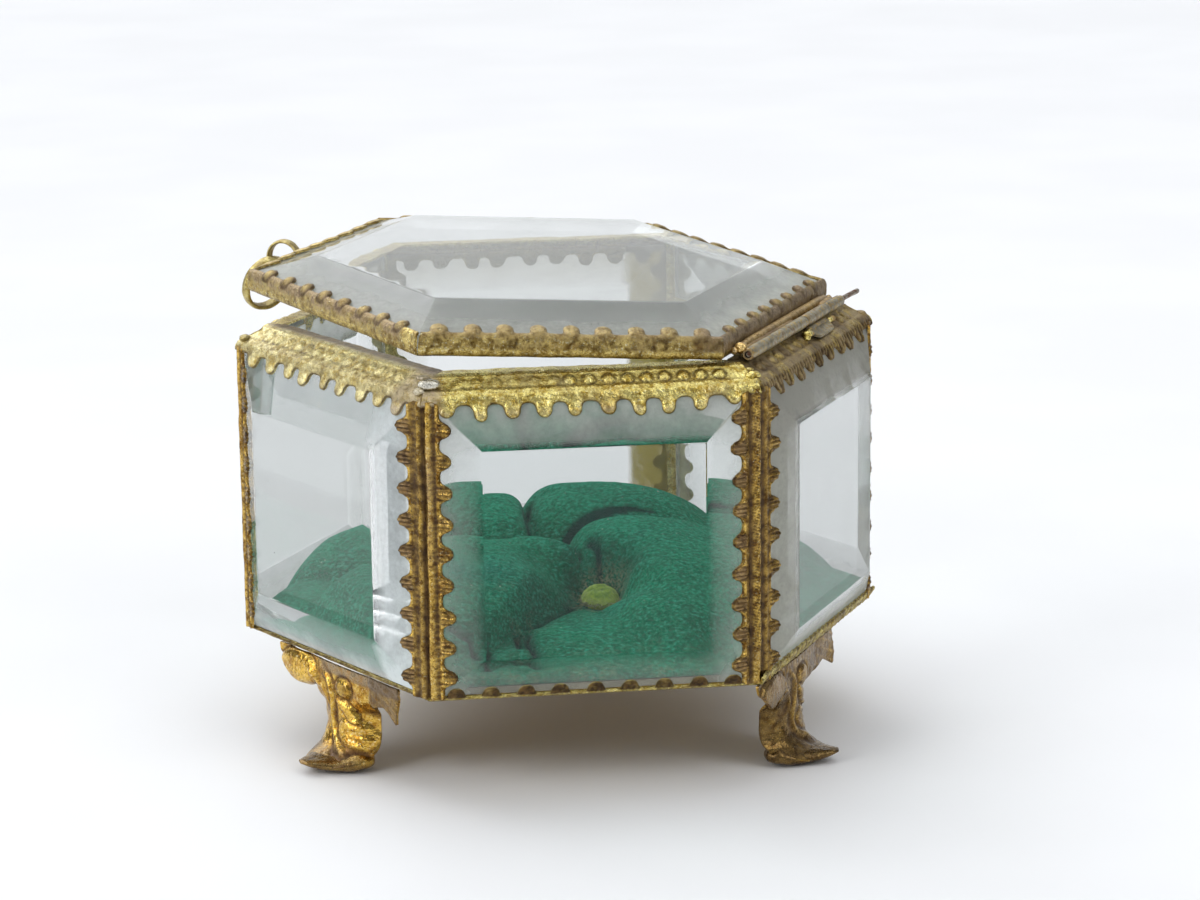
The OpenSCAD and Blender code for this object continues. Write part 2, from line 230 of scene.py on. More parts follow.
# ---------------------------------------------------------------- stamped sheet from an outline and a relief
def outline_mesh(f, x0, x1, y0, y1, step):
    nx, ny = max(3, int(round((x1 - x0) / step)) + 1), max(3, int(round((y1 - y0) / step)) + 1)
    X, Y = np.meshgrid(np.linspace(x0, x1, nx), np.linspace(y0, y1, ny), indexing="ij")
    F = f(X, Y).ravel()
    XY = np.stack([X.ravel(), Y.ravel()], 1)
    idx = np.arange(nx * ny).reshape(nx, ny)
    a, b, c, d = idx[:-1, :-1], idx[1:, :-1], idx[1:, 1:], idx[:-1, 1:]
    odd = ((np.arange(nx - 1)[:, None] + np.arange(ny - 1)[None, :]) % 2).astype(bool)
    t1 = np.where(odd[..., None], np.stack([a, b, d], -1), np.stack([a, b, c], -1)).reshape(-1, 3)
    t2 = np.where(odd[..., None], np.stack([b, c, d], -1), np.stack([a, c, d], -1)).reshape(-1, 3)
    tri = np.vstack([t1, t2])
    ins = F > 0
    n_in = ins[tri].sum(1)
    out = [tri[n_in == 3]]
    N = nx * ny
    keys, pos = [], []

    def cross(p, q):
        lo, hi = np.minimum(p, q), np.maximum(p, q)
        key = lo.astype(np.int64) * N + hi
        t = np.clip(F[lo] / np.where(np.abs(F[lo] - F[hi]) < 1e-12, 1e-12, F[lo] - F[hi]), 0.08, 0.92)
        keys.append(key)
        pos.append(XY[lo] + (XY[hi] - XY[lo]) * t[:, None])
        return key

    two = tri[n_in == 2]
    k = np.argmin(ins[two], axis=1)
    r = np.arange(len(two))
    c2, a2, b2 = two[r, k], two[r, (k + 1) % 3], two[r, (k + 2) % 3]
    kb, ka = cross(b2, c2), cross(c2, a2)
    one = tri[n_in == 1]
    k = np.argmax(ins[one], axis=1)
    r = np.arange(len(one))
    a1, b1, c1 = one[r, k], one[r, (k + 1) % 3], one[r, (k + 2) % 3]
    k1, k2 = cross(a1, b1), cross(c1, a1)
    allk, allp = np.concatenate(keys), np.concatenate(pos)
    uk, first = np.unique(allk, return_index=True)
    extra = allp[first]
    n = lambda key: N + np.searchsorted(uk, key)
    out.append(np.stack([a2, b2, n(kb)], 1))
    out.append(np.stack([a2, n(kb), n(ka)], 1))
    out.append(np.stack([a1, n(k1), n(k2)], 1))
    T = np.vstack(out)
    V = np.vstack([XY, extra])
    used = np.unique(T)
    new = np.full(len(V), -1)
    new[used] = np.arange(len(used))
    return V[used], new[T]


def normals_of(surf, x, y, flip, e=0.02):
    dx = surf(x + e, y) - surf(x - e, y)
    dy = surf(x, y + e) - surf(x, y - e)
    n = np.cross(dx, dy)
    n /= np.maximum(np.linalg.norm(n, axis=1, keepdims=True), 1e-12)
    return -n if flip else n


def sheet_arrays(f, rng, step, surf, relief, thick, flip=False, back=0.6, masks=None, hollow_dirt_and_shade=1.0, polish=1.0):
    """Closed sheet: vertices in millimetres, triangles and four masks per vertex."""
    V2, T = outline_mesh(f, *rng, step)
    x, y = V2[:, 0], V2[:, 1]
    P = surf(x, y)
    Nn = normals_of(surf, x, y, flip)
    d = relief(x, y)
    thk = thick(x, y) if callable(thick) else thick
    front = P + Nn * (np.maximum(thk + d, 0.08))[:, None]
    bk = P + Nn * (np.maximum(np.minimum(d * back, thk + d - 0.12), 0))[:, None]
    n = len(V2)
    e = np.vstack([T[:, [0, 1]], T[:, [1, 2]], T[:, [2, 0]]])
    key = e[:, 0].astype(np.int64) * n + e[:, 1]
    rev = e[:, 1].astype(np.int64) * n + e[:, 0]
    border = e[~np.isin(key, rev)]
    if flip:
        T = T[:, ::-1]
        border = border[:, ::-1]
    walls = np.vstack([
        np.stack([border[:, 1], border[:, 0], border[:, 0] + n], 1),
        np.stack([border[:, 1], border[:, 0] + n, border[:, 1] + n], 1)])
    V = np.vstack([front, bk])
    faces = np.vstack([T, T[:, ::-1] + n, walls])
    m = masks(x, y) if masks else np.zeros((n, 4))
    # red mask rises in the hollows of the relief: dirt and painted shade; ridges lose it and the bronze, as rubbed high
    # points
    r = 0.34
    cav = (relief(x + r, y) + relief(x - r, y) + relief(x, y + r) + relief(x, y - r)) / 4 - d
    m[:, 0] = np.clip(m[:, 0] * (1 - 6.0 * polish * np.clip(-cav, 0, 0.12)) + hollow_dirt_and_shade * 8.0 * np.maximum(cav, 0), 0, 1)
    m[:, 2] = np.clip(m[:, 2] * (1 - 6.5 * polish * np.clip(-cav, 0, 0.12)), 0, 1)
    return V, faces, np.vstack([m, m * np.array([0.3, 0.5, 0.2, 1.0])])


def join(parts):
    Vs, Fs, Ms, o = [], [], [], 0
    for V, F, M in parts:
        Vs.append(V)
        Fs.append(np.asarray(F) + o)
        Ms.append(M)
        o += len(V)
    return np.vstack(Vs), np.vstack(Fs), np.vstack(Ms)


def mesh_object(name, V, F, mask=None, mat=None, sharp=55, place=to_box):
    """A mesh from triangles, placed in metres in the CAD frame."""
    W = place(V)
    me = bpy.data.meshes.new(name)
    me.vertices.add(len(W))
    me.vertices.foreach_set("co", W.astype(np.float32).ravel())
    F = np.asarray(F, np.int32)
    me.loops.add(F.size)
    me.loops.foreach_set("vertex_index", F.ravel())
    me.polygons.add(len(F))
    me.polygons.foreach_set("loop_start", np.arange(0, F.size, 3, dtype=np.int32))
    me.update(calc_edges=True)
    me.validate()
    me.shade_smooth()
    if sharp:
        me.set_sharp_from_angle(angle=math.radians(sharp))
    if mask is not None:
        at = me.attributes.new("mask", "FLOAT_COLOR", "POINT")
        at.data.foreach_set("color", np.clip(mask, 0, 1).astype(np.float32).ravel())
    ob = bpy.data.objects.new(name, me)
    bpy.context.scene.collection.objects.link(ob)
    if mat:
        me.materials.append(mat)
    return ob


def put(ob, body, node=None):
    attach(ob, body)
    if node:
        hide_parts(*([node] if isinstance(node, str) else node))
    return ob


# ---------------------------------------------------------------- materials
class Mat:
    def __init__(self, name):
        self.m = bpy.data.materials.new(name)
        self.m.use_nodes = True
        self.t = self.m.node_tree
        for n in list(self.t.nodes):
            self.t.nodes.remove(n)
        self.out = self.add("ShaderNodeOutputMaterial")
        self.co = self.add("ShaderNodeTexCoord").outputs["Object"]

    def add(self, kind, **kw):
        n = self.t.nodes.new(kind)
        for k, v in kw.items():
            setattr(n, k, v)
        return n

    def link(self, a, b):
        self.t.links.new(a, b)

    def val(self, socket, v):
        if isinstance(v, bpy.types.NodeSocket):
            self.link(v, socket)
        elif isinstance(v, (tuple, list)) and len(v) == 3 and socket.type == "RGBA":
            socket.default_value = (*v, 1)
        else:
            socket.default_value = v

    def noise(self, mm, detail=2.0, rough=0.5, dist=0.0, w=None):
        n = self.add("ShaderNodeTexNoise")
        n.noise_dimensions = "3D"
        if w is not None:
            mp = self.add("ShaderNodeMapping")
            mp.inputs["Location"].default_value = (w, w * 0.7, -w * 0.4)
            self.link(self.co, mp.inputs["Vector"])
            self.link(mp.outputs[0], n.inputs["Vector"])
        else:
            self.link(self.co, n.inputs["Vector"])
        n.inputs["Scale"].default_value = 1000.0 / mm
        n.inputs["Detail"].default_value = detail
        n.inputs["Roughness"].default_value = rough
        n.inputs["Distortion"].default_value = dist
        return n.outputs["Fac"]

    def voronoi(self, mm, feature="F1", rand=1.0):
        n = self.add("ShaderNodeTexVoronoi", feature=feature)
        self.link(self.co, n.inputs["Vector"])
        n.inputs["Scale"].default_value = 1000.0 / mm
        n.inputs["Randomness"].default_value = rand
        return n.outputs["Distance"]

    def ramp(self, fac, a, b, lo=0.0, hi=1.0):
        n = self.add("ShaderNodeMapRange")
        n.interpolation_type = "SMOOTHSTEP"
        n.clamp = True
        self.link(fac, n.inputs["Value"])
        n.inputs["From Min"].default_value = a
        n.inputs["From Max"].default_value = b
        n.inputs["To Min"].default_value = lo
        n.inputs["To Max"].default_value = hi
        return n.outputs["Result"]

    def math(self, op, a, b=None, clamp=False):
        n = self.add("ShaderNodeMath", operation=op)
        n.use_clamp = clamp
        self.val(n.inputs[0], a)
        if b is not None:
            self.val(n.inputs[1], b)
        return n.outputs[0]

    def mix(self, fac, a, b, blend="MIX"):
        n = self.add("ShaderNodeMix", data_type="RGBA", blend_type=blend)
        self.val(n.inputs[0], fac)
        self.val(n.inputs[6], a)
        self.val(n.inputs[7], b)
        return n.outputs[2]

    def mask(self, name="mask"):
        a = self.add("ShaderNodeAttribute", attribute_name=name)
        s = self.add("ShaderNodeSeparateColor")
        self.link(a.outputs["Color"], s.inputs[0])
        return s.outputs[0], s.outputs[1], s.outputs[2], a.outputs["Alpha"]

    def bump(self, height, strength, dist, normal=None):
        n = self.add("ShaderNodeBump")
        n.inputs["Strength"].default_value = strength
        n.inputs["Distance"].default_value = dist * 0.001
        self.link(height, n.inputs["Height"])
        if normal is not None:
            self.link(normal, n.inputs["Normal"])
        return n.outputs["Normal"]

    def principled(self, **kw):
        n = self.add("ShaderNodeBsdfPrincipled")
        for k, v in kw.items():
            self.val(n.inputs[k.replace("_", " ")], v)
        return n


def brass_material(name, bright=(0.84, 0.72, 0.25), deep=(0.45, 0.315, 0.052), warm=(0.50, 0.31, 0.055), rough=0.24, grain=0.35, seed=0.0,
                   grey=((0.26, 0.19, 0.14), (0.62, 0.50, 0.40)), dark=(0.050, 0.024, 0.005), painted_glint=0.7, metal=1.0):
    """Stamped gilt brass. Mask: red recess darkening (dirt and painted shade), green grey tarnish, blue dark bronze,
    alpha pale solder.
    """
    m = Mat(name)
    rec, tar, brz, sol = m.mask()
    big = m.noise(5.0, 3, 0.6, 0.4, w=seed)
    mid = m.noise(1.1, 3, 0.6, 0.2, w=seed + 0.03)
    fine = m.noise(0.32, 3, 0.65, 0.0, w=seed + 0.05)
    gold = m.mix(m.ramp(mid, 0.32, 0.62), deep, bright)
    gold = m.mix(m.ramp(big, 0.48, 0.75, 0, 0.5), gold, warm)
    gold = m.mix(m.ramp(fine, 0.54, 0.66, 0, 0.78), gold, (0.13, 0.065, 0.012))
    # painted glints: pale yellow specks in the base colour stand in for sparkling highlights
    gold = m.mix(m.math("MULTIPLY", m.ramp(fine, 0.44, 0.34, 0, 0.75), painted_glint), gold, (1.0, 0.94, 0.60))
    # red mask: dirt and painted shade in the recesses
    rr = m.math("MULTIPLY", rec, m.ramp(fine, 0.25, 0.6, 1.15, 0.8), clamp=True)
    c = m.mix(rr, gold, dark)
    tarc = m.mix(m.ramp(fine, 0.38, 0.64), grey[0], grey[1])
    tt = m.math("MULTIPLY", tar, m.ramp(mid, 0.25, 0.58, 0.35, 1.0), clamp=True)
    c = m.mix(tt, c, m.mix(m.math("MULTIPLY", rec, 0.8), tarc, (0.10, 0.06, 0.04)))
    brc = m.mix(m.ramp(mid, 0.35, 0.7), (0.045, 0.026, 0.012), (0.17, 0.098, 0.030))
    c = m.mix(brz, c, brc)
    c = m.mix(sol, c, m.mix(m.ramp(fine, 0.35, 0.65), (0.46, 0.44, 0.38), (0.80, 0.78, 0.70)))
    r = m.ramp(fine, 0.3, 0.75, rough - 0.06, rough + 0.14)
    r = m.math("ADD", r, m.math("MULTIPLY", tt, 0.14))
    r = m.math("ADD", r, m.math("MULTIPLY", rec, 0.15))
    r = m.math("ADD", r, m.math("MULTIPLY", brz, 0.05), clamp=True)
    met = m.math("SUBTRACT", metal, m.math("MULTIPLY", m.math("MAXIMUM", tt, rec), 0.35))
    b1 = m.bump(m.noise(0.9, 2, 0.5, 0.3, w=seed + 0.11), 0.40, 0.40)
    b2 = m.bump(m.noise(0.30, 3, 0.65, w=seed + 0.13), grain, 0.16, b1)
    p = m.principled(Base_Color=c, Roughness=r, Metallic=met, Normal=b2)
    m.link(p.outputs[0], m.out.inputs["Surface"])
    return m.m


def wire_material():
    m = Mat("rusty_wire")
    n1, n2 = m.noise(0.8, 4, 0.65, 0.5), m.noise(0.25, 2, 0.6)
    c = m.mix(m.ramp(n1, 0.42, 0.6), (0.30, 0.27, 0.22), (0.14, 0.055, 0.025))
    r = m.ramp(n1, 0.3, 0.7, 0.35, 0.75)
    p = m.principled(Base_Color=c, Roughness=r, Metallic=m.ramp(n1, 0.4, 0.65, 0.95, 0.35), Normal=m.bump(n2, 0.5, 0.15))
    m.link(p.outputs[0], m.out.inputs["Surface"])
    return m.m


def lead_material():
    m = Mat("leaded_tube")
    rec, tar, brz, sol = m.mask()
    n1, n2, n3 = m.noise(2.2, 3, 0.6, 0.4), m.noise(0.5, 3, 0.6), m.noise(0.2, 2, 0.6)
    c = m.mix(m.ramp(n1, 0.4, 0.62), (0.20, 0.175, 0.115), (0.44, 0.40, 0.29))
    c = m.mix(m.ramp(n2, 0.52, 0.64), c, (0.50, 0.35, 0.12))
    c = m.mix(m.ramp(n1, 0.56, 0.66, 0, 0.8), c, (0.22, 0.125, 0.05))
    c = m.mix(m.math("MULTIPLY", rec, 0.9), c, (0.05, 0.03, 0.02))
    c = m.mix(brz, c, (0.40, 0.26, 0.09))
    r = m.ramp(n2, 0.3, 0.75, 0.34, 0.60)
    b = m.bump(n3, 0.4, 0.14, m.bump(m.noise(1.3, 2, 0.5, 0.3), 0.35, 0.4))
    p = m.principled(Base_Color=c, Roughness=r, Metallic=m.ramp(n1, 0.3, 0.7, 0.65, 0.9), Normal=b)
    m.link(p.outputs[0], m.out.inputs["Surface"])
    return m.m


def glass_material(name="bevelled_glass", tint=(0.800, 0.817, 0.812), dust_and_painted_light_diffuse=(0.56, 0.57, 0.53), dust_and_painted_light_translucent=(0.60, 0.62, 0.58)):
    """Clear soda glass with dust and haze where the haze attribute says; on the pale and gold panes the haze also
    carries painted light.
    """
    m = Mat(name)
    at = m.add("ShaderNodeAttribute", attribute_name="haze").outputs["Fac"]
    n1 = m.noise(6.0, 4, 0.6, 0.6)
    n2 = m.noise(0.7, 3, 0.7)
    spots = m.ramp(m.voronoi(2.6), 0.03, 0.06, 1.0, 0.0)
    keep = m.ramp(m.noise(3.0, 1), 0.60, 0.68)
    spots = m.math("MULTIPLY", spots, keep)
    h = m.math("MULTIPLY", at, m.ramp(n1, 0.25, 0.75, 0.80, 1.20))
    h = m.math("MULTIPLY", h, m.ramp(n2, 0.2, 0.8, 0.90, 1.12))
    h = m.math("MAXIMUM", h, m.math("MULTIPLY", spots, 0.45), clamp=True)
    g = m.principled(Base_Color=tint, Roughness=0.0, IOR=1.5, Transmission_Weight=1.0,
                     Normal=m.bump(m.noise(14.0, 1, 0.4), 0.03, 0.25))
    g.inputs["Specular Tint"].default_value = (0.35, 0.35, 0.35, 1)
    # dust colours; the pale and gold glass use them for painted light on the bevels
    d1 = m.add("ShaderNodeBsdfDiffuse")
    d1.inputs["Color"].default_value = (*dust_and_painted_light_diffuse, 1)
    d2 = m.add("ShaderNodeBsdfTranslucent")
    d2.inputs["Color"].default_value = (*dust_and_painted_light_translucent, 1)
    dust_and_painted_light_shader = m.add("ShaderNodeMixShader")
    dust_and_painted_light_shader.inputs[0].default_value = 0.5
    m.link(d1.outputs[0], dust_and_painted_light_shader.inputs[1])
    m.link(d2.outputs[0], dust_and_painted_light_shader.inputs[2])
    mixed = m.add("ShaderNodeMixShader")
    m.link(h, mixed.inputs[0])
    m.link(g.outputs[0], mixed.inputs[1])
    m.link(dust_and_painted_light_shader.outputs[0], mixed.inputs[2])
    lp = m.add("ShaderNodeLightPath")
    tr = m.add("ShaderNodeBsdfTransparent")
    tr.inputs["Color"].default_value = (0.93, 0.96, 0.95, 1)
    last = m.add("ShaderNodeMixShader")
    m.link(lp.outputs["Is Shadow Ray"], last.inputs[0])
    m.link(mixed.outputs[0], last.inputs[1])
    m.link(tr.outputs[0], last.inputs[2])
    m.link(last.outputs[0], m.out.inputs["Surface"])
    return m.m


def velvet_material():
    m = Mat("teal_velvet")
    # mask: red dark (painted shade in creases and gaps), green paler (painted light on the high crowns, with random
    # patches), blue bluish patches, alpha lint
    rec, pale, blue, lint = m.mask()
    n1, n2, n3 = m.noise(9.0, 3, 0.6, 0.6), m.noise(1.6, 4, 0.65, 0.3), m.noise(0.35, 2, 0.7)
    c = m.mix(m.ramp(n1, 0.35, 0.68), (0.003, 0.145, 0.072), (0.008, 0.225, 0.115))
    c = m.mix(m.ramp(n2, 0.42, 0.74, 0, 0.30), c, (0.016, 0.28, 0.160))
    c = m.mix(m.math("MULTIPLY", blue, 0.6), c, (0.010, 0.085, 0.085))
    # paler on the high crowns: painted light from above, with random paler patches
    c = m.mix(m.math("MULTIPLY", pale, m.ramp(n2, 0.3, 0.75, 0.25, 0.50)), c, (0.034, 0.34, 0.215))
    mp = m.add("ShaderNodeMapping")
    mp.inputs["Scale"].default_value = (0.70, 1.0, 1.0)
    m.link(m.co, mp.inputs["Vector"])
    wv = m.add("ShaderNodeTexNoise")
    wv.noise_dimensions = "3D"
    m.link(mp.outputs[0], wv.inputs["Vector"])
    wv.inputs["Scale"].default_value = 2350.0
    wv.inputs["Detail"].default_value = 2.0
    wv.inputs["Roughness"].default_value = 0.6
    wv.inputs["Distortion"].default_value = 0.3
    c = m.mix(m.ramp(wv.outputs["Fac"], 0.48, 0.62, 0, 0.62), c, (0.002, 0.062, 0.037))
    c = m.mix(m.ramp(wv.outputs["Fac"], 0.46, 0.35, 0, 0.58), c, (0.045, 0.37, 0.250))
    c = m.mix(m.ramp(n3, 0.56, 0.72, 0, 0.35), c, (0.07, 0.34, 0.22))
    # dark in creases and gaps: painted shade
    c = m.mix(m.math("MULTIPLY", rec, 0.95), c, (0.001, 0.030, 0.024))
    fuzz = m.math("MULTIPLY", lint, m.ramp(n3, 0.38, 0.62, 0.0, 1.0), clamp=True)
    c = m.mix(fuzz, c, (0.27, 0.27, 0.17))
    speck = m.ramp(m.voronoi(1.5), 0.05, 0.10, 1.0, 0.0)
    speck = m.math("MULTIPLY", speck, m.ramp(m.noise(2.6, 1), 0.50, 0.60))
    c = m.mix(m.math("MULTIPLY", speck, 0.75), c, (0.42, 0.52, 0.42))
    nap = m.math("ADD", m.math("MULTIPLY", wv.outputs["Fac"], 0.9), n3)
    b = m.bump(nap, 0.9, 0.20, m.bump(n2, 0.18, 0.5))
    p = m.principled(Base_Color=c, Roughness=0.95, Normal=b)
    p.inputs["Specular IOR Level"].default_value = 0.10
    p.inputs["Sheen Weight"].default_value = 0.12
    p.inputs["Sheen Roughness"].default_value = 0.45
    p.inputs["Sheen Tint"].default_value = (0.10, 0.80, 0.50, 1)
    m.link(p.outputs[0], m.out.inputs["Surface"])
    return m.m


def tuft_material():
    m = Mat("tuft_silk")
    rec, pale, _, _ = m.mask()
    n1, n2 = m.noise(0.5, 3, 0.6), m.noise(0.16, 2, 0.7)
    c = m.mix(m.ramp(n1, 0.35, 0.65), (0.09, 0.20, 0.010), (0.25, 0.38, 0.020))
    c = m.mix(m.math("MULTIPLY", pale, 0.7), c, (0.40, 0.47, 0.12))
    c = m.mix(m.math("MULTIPLY", rec, 0.8), c, (0.035, 0.10, 0.012))
    p = m.principled(Base_Color=c, Roughness=0.8, Normal=m.bump(n2, 0.6, 0.15, m.bump(n1, 0.5, 0.3)))
    p.inputs["Sheen Weight"].default_value = 0.5
    p.inputs["Sheen Tint"].default_value = (0.8, 0.9, 0.4, 1)
    m.link(p.outputs[0], m.out.inputs["Surface"])
    return m.m


def card_material():
    m = Mat("grey_card")
    n1, n2 = m.noise(3.0, 4, 0.6), m.noise(0.3, 2, 0.6)
    c = m.mix(m.ramp(n1, 0.35, 0.7), (0.28, 0.23, 0.16), (0.42, 0.36, 0.27))
    p = m.principled(Base_Color=c, Roughness=0.9, Normal=m.bump(n2, 0.3, 0.15))
    m.link(p.outputs[0], m.out.inputs["Surface"])
    return m.m


def plate_material():
    m = Mat("floor_plate_brass")
    n1, n2, n3 = m.noise(6.0, 4, 0.6, 0.5), m.noise(1.0, 3, 0.6), m.noise(0.3, 2, 0.6)
    c = m.mix(m.ramp(n1, 0.38, 0.66), (0.20, 0.13, 0.05), (0.50, 0.33, 0.11))
    c = m.mix(m.ramp(n2, 0.5, 0.7, 0, 0.6), c, (0.09, 0.06, 0.035))
    p = m.principled(Base_Color=c, Roughness=m.ramp(n2, 0.3, 0.7, 0.3, 0.55), Metallic=m.ramp(n1, 0.35, 0.7, 0.6, 1.0),
                     Normal=m.bump(n3, 0.3, 0.12, m.bump(n2, 0.25, 0.4)))
    m.link(p.outputs[0], m.out.inputs["Surface"])
    return m.m


M_GOLD = brass_material("gilt_brass", grain=0.55)
# darker amber gilt for the posts: amber tone, and painted shade standing in for the dark surroundings they reflect
M_POST = brass_material("gilt_brass_amber_painted_shade", bright=(0.74, 0.49, 0.11), deep=(0.19, 0.092, 0.012), warm=(0.22, 0.088, 0.011), rough=0.19, grain=0.40, seed=0.1,
                        grey=((0.20, 0.13, 0.085), (0.50, 0.37, 0.26)), dark=(0.040, 0.014, 0.003), painted_glint=0.5)
M_LIDGOLD = brass_material("gilt_brass_grained", bright=(0.84, 0.66, 0.22), deep=(0.26, 0.165, 0.032), warm=(0.36, 0.22, 0.04), rough=0.24, grain=1.0, seed=0.2,
                           grey=((0.20, 0.135, 0.070), (0.50, 0.38, 0.24)), painted_glint=1.0)
# paler, part-matte gilt: painted light on the left-front slope where the lamps give no highlight
M_LFGOLD = brass_material("gilt_brass_pale_painted_light", bright=(0.97, 0.86, 0.42), deep=(0.50, 0.36, 0.075), warm=(0.62, 0.45, 0.11), rough=0.22, grain=0.9, seed=0.6, painted_glint=1.0, metal=0.62)
M_TAN = brass_material("gilt_brass_tan", bright=(0.84, 0.60, 0.24), deep=(0.52, 0.32, 0.10), warm=(0.60, 0.36, 0.13), rough=0.33, grain=0.30, seed=0.5)
M_OLIVE = brass_material("gilt_brass_olive", bright=(0.70, 0.52, 0.14), deep=(0.26, 0.165, 0.035), warm=(0.30, 0.19, 0.05), rough=0.32, grain=0.9, seed=0.3,
                         grey=((0.16, 0.115, 0.07), (0.44, 0.35, 0.25)), dark=(0.04, 0.02, 0.006))
M_FOOT = brass_material("bright_stamping", bright=(0.84, 0.54, 0.10), deep=(0.44, 0.215, 0.022), warm=(0.36, 0.155, 0.012), rough=0.15, grain=0.10, seed=0.4,
                        grey=((0.13, 0.095, 0.065), (0.34, 0.27, 0.20)), dark=(0.09, 0.032, 0.005))
M_WIRE, M_LEAD = wire_material(), lead_material()
M_GLASS = glass_material()
M_GLASS_GREY = glass_material("bevelled_glass_grey", (0.79, 0.80, 0.80), (0.40, 0.385, 0.345), (0.46, 0.445, 0.40))
# whitish-blue haze: dust, and on the right bevel painted light of a bright window seen through it
M_GLASS_BRIGHT = glass_material("bevelled_glass_dust_and_painted_light", (0.79, 0.80, 0.79), (0.86, 0.90, 0.91), (0.86, 0.90, 0.91))
M_GLASS_LID = glass_material("bevelled_glass_lid", (0.892, 0.910, 0.903), (0.62, 0.62, 0.58), (0.66, 0.67, 0.63))
# gold-olive haze: painted reflection of the gilt corner post in the back pane's edge
M_GLASS_GOLD_REFLECTION = glass_material("bevelled_glass_painted_gold_reflection", (0.81, 0.825, 0.82), (0.33, 0.27, 0.07), (0.33, 0.27, 0.07))
M_VELVET, M_TUFT, M_CARD, M_PLATE = velvet_material(), tuft_material(), card_material(), plate_material()

# ---------------------------------------------------------------- mesh step by side
# mesh step in millimetres by side, finer on the three sides in view; tarnish, bronze and rubbed gold by side are set in
# each piece's masks
FINE = {FRONT: 0.22, RFRONT: 0.24, LFRONT: 0.22, RBACK: 0.30, BACK: 0.30, LBACK: 0.30}


def xyseed(x, y, k):
    return np.stack([x + 100.0 * k, y], 1)


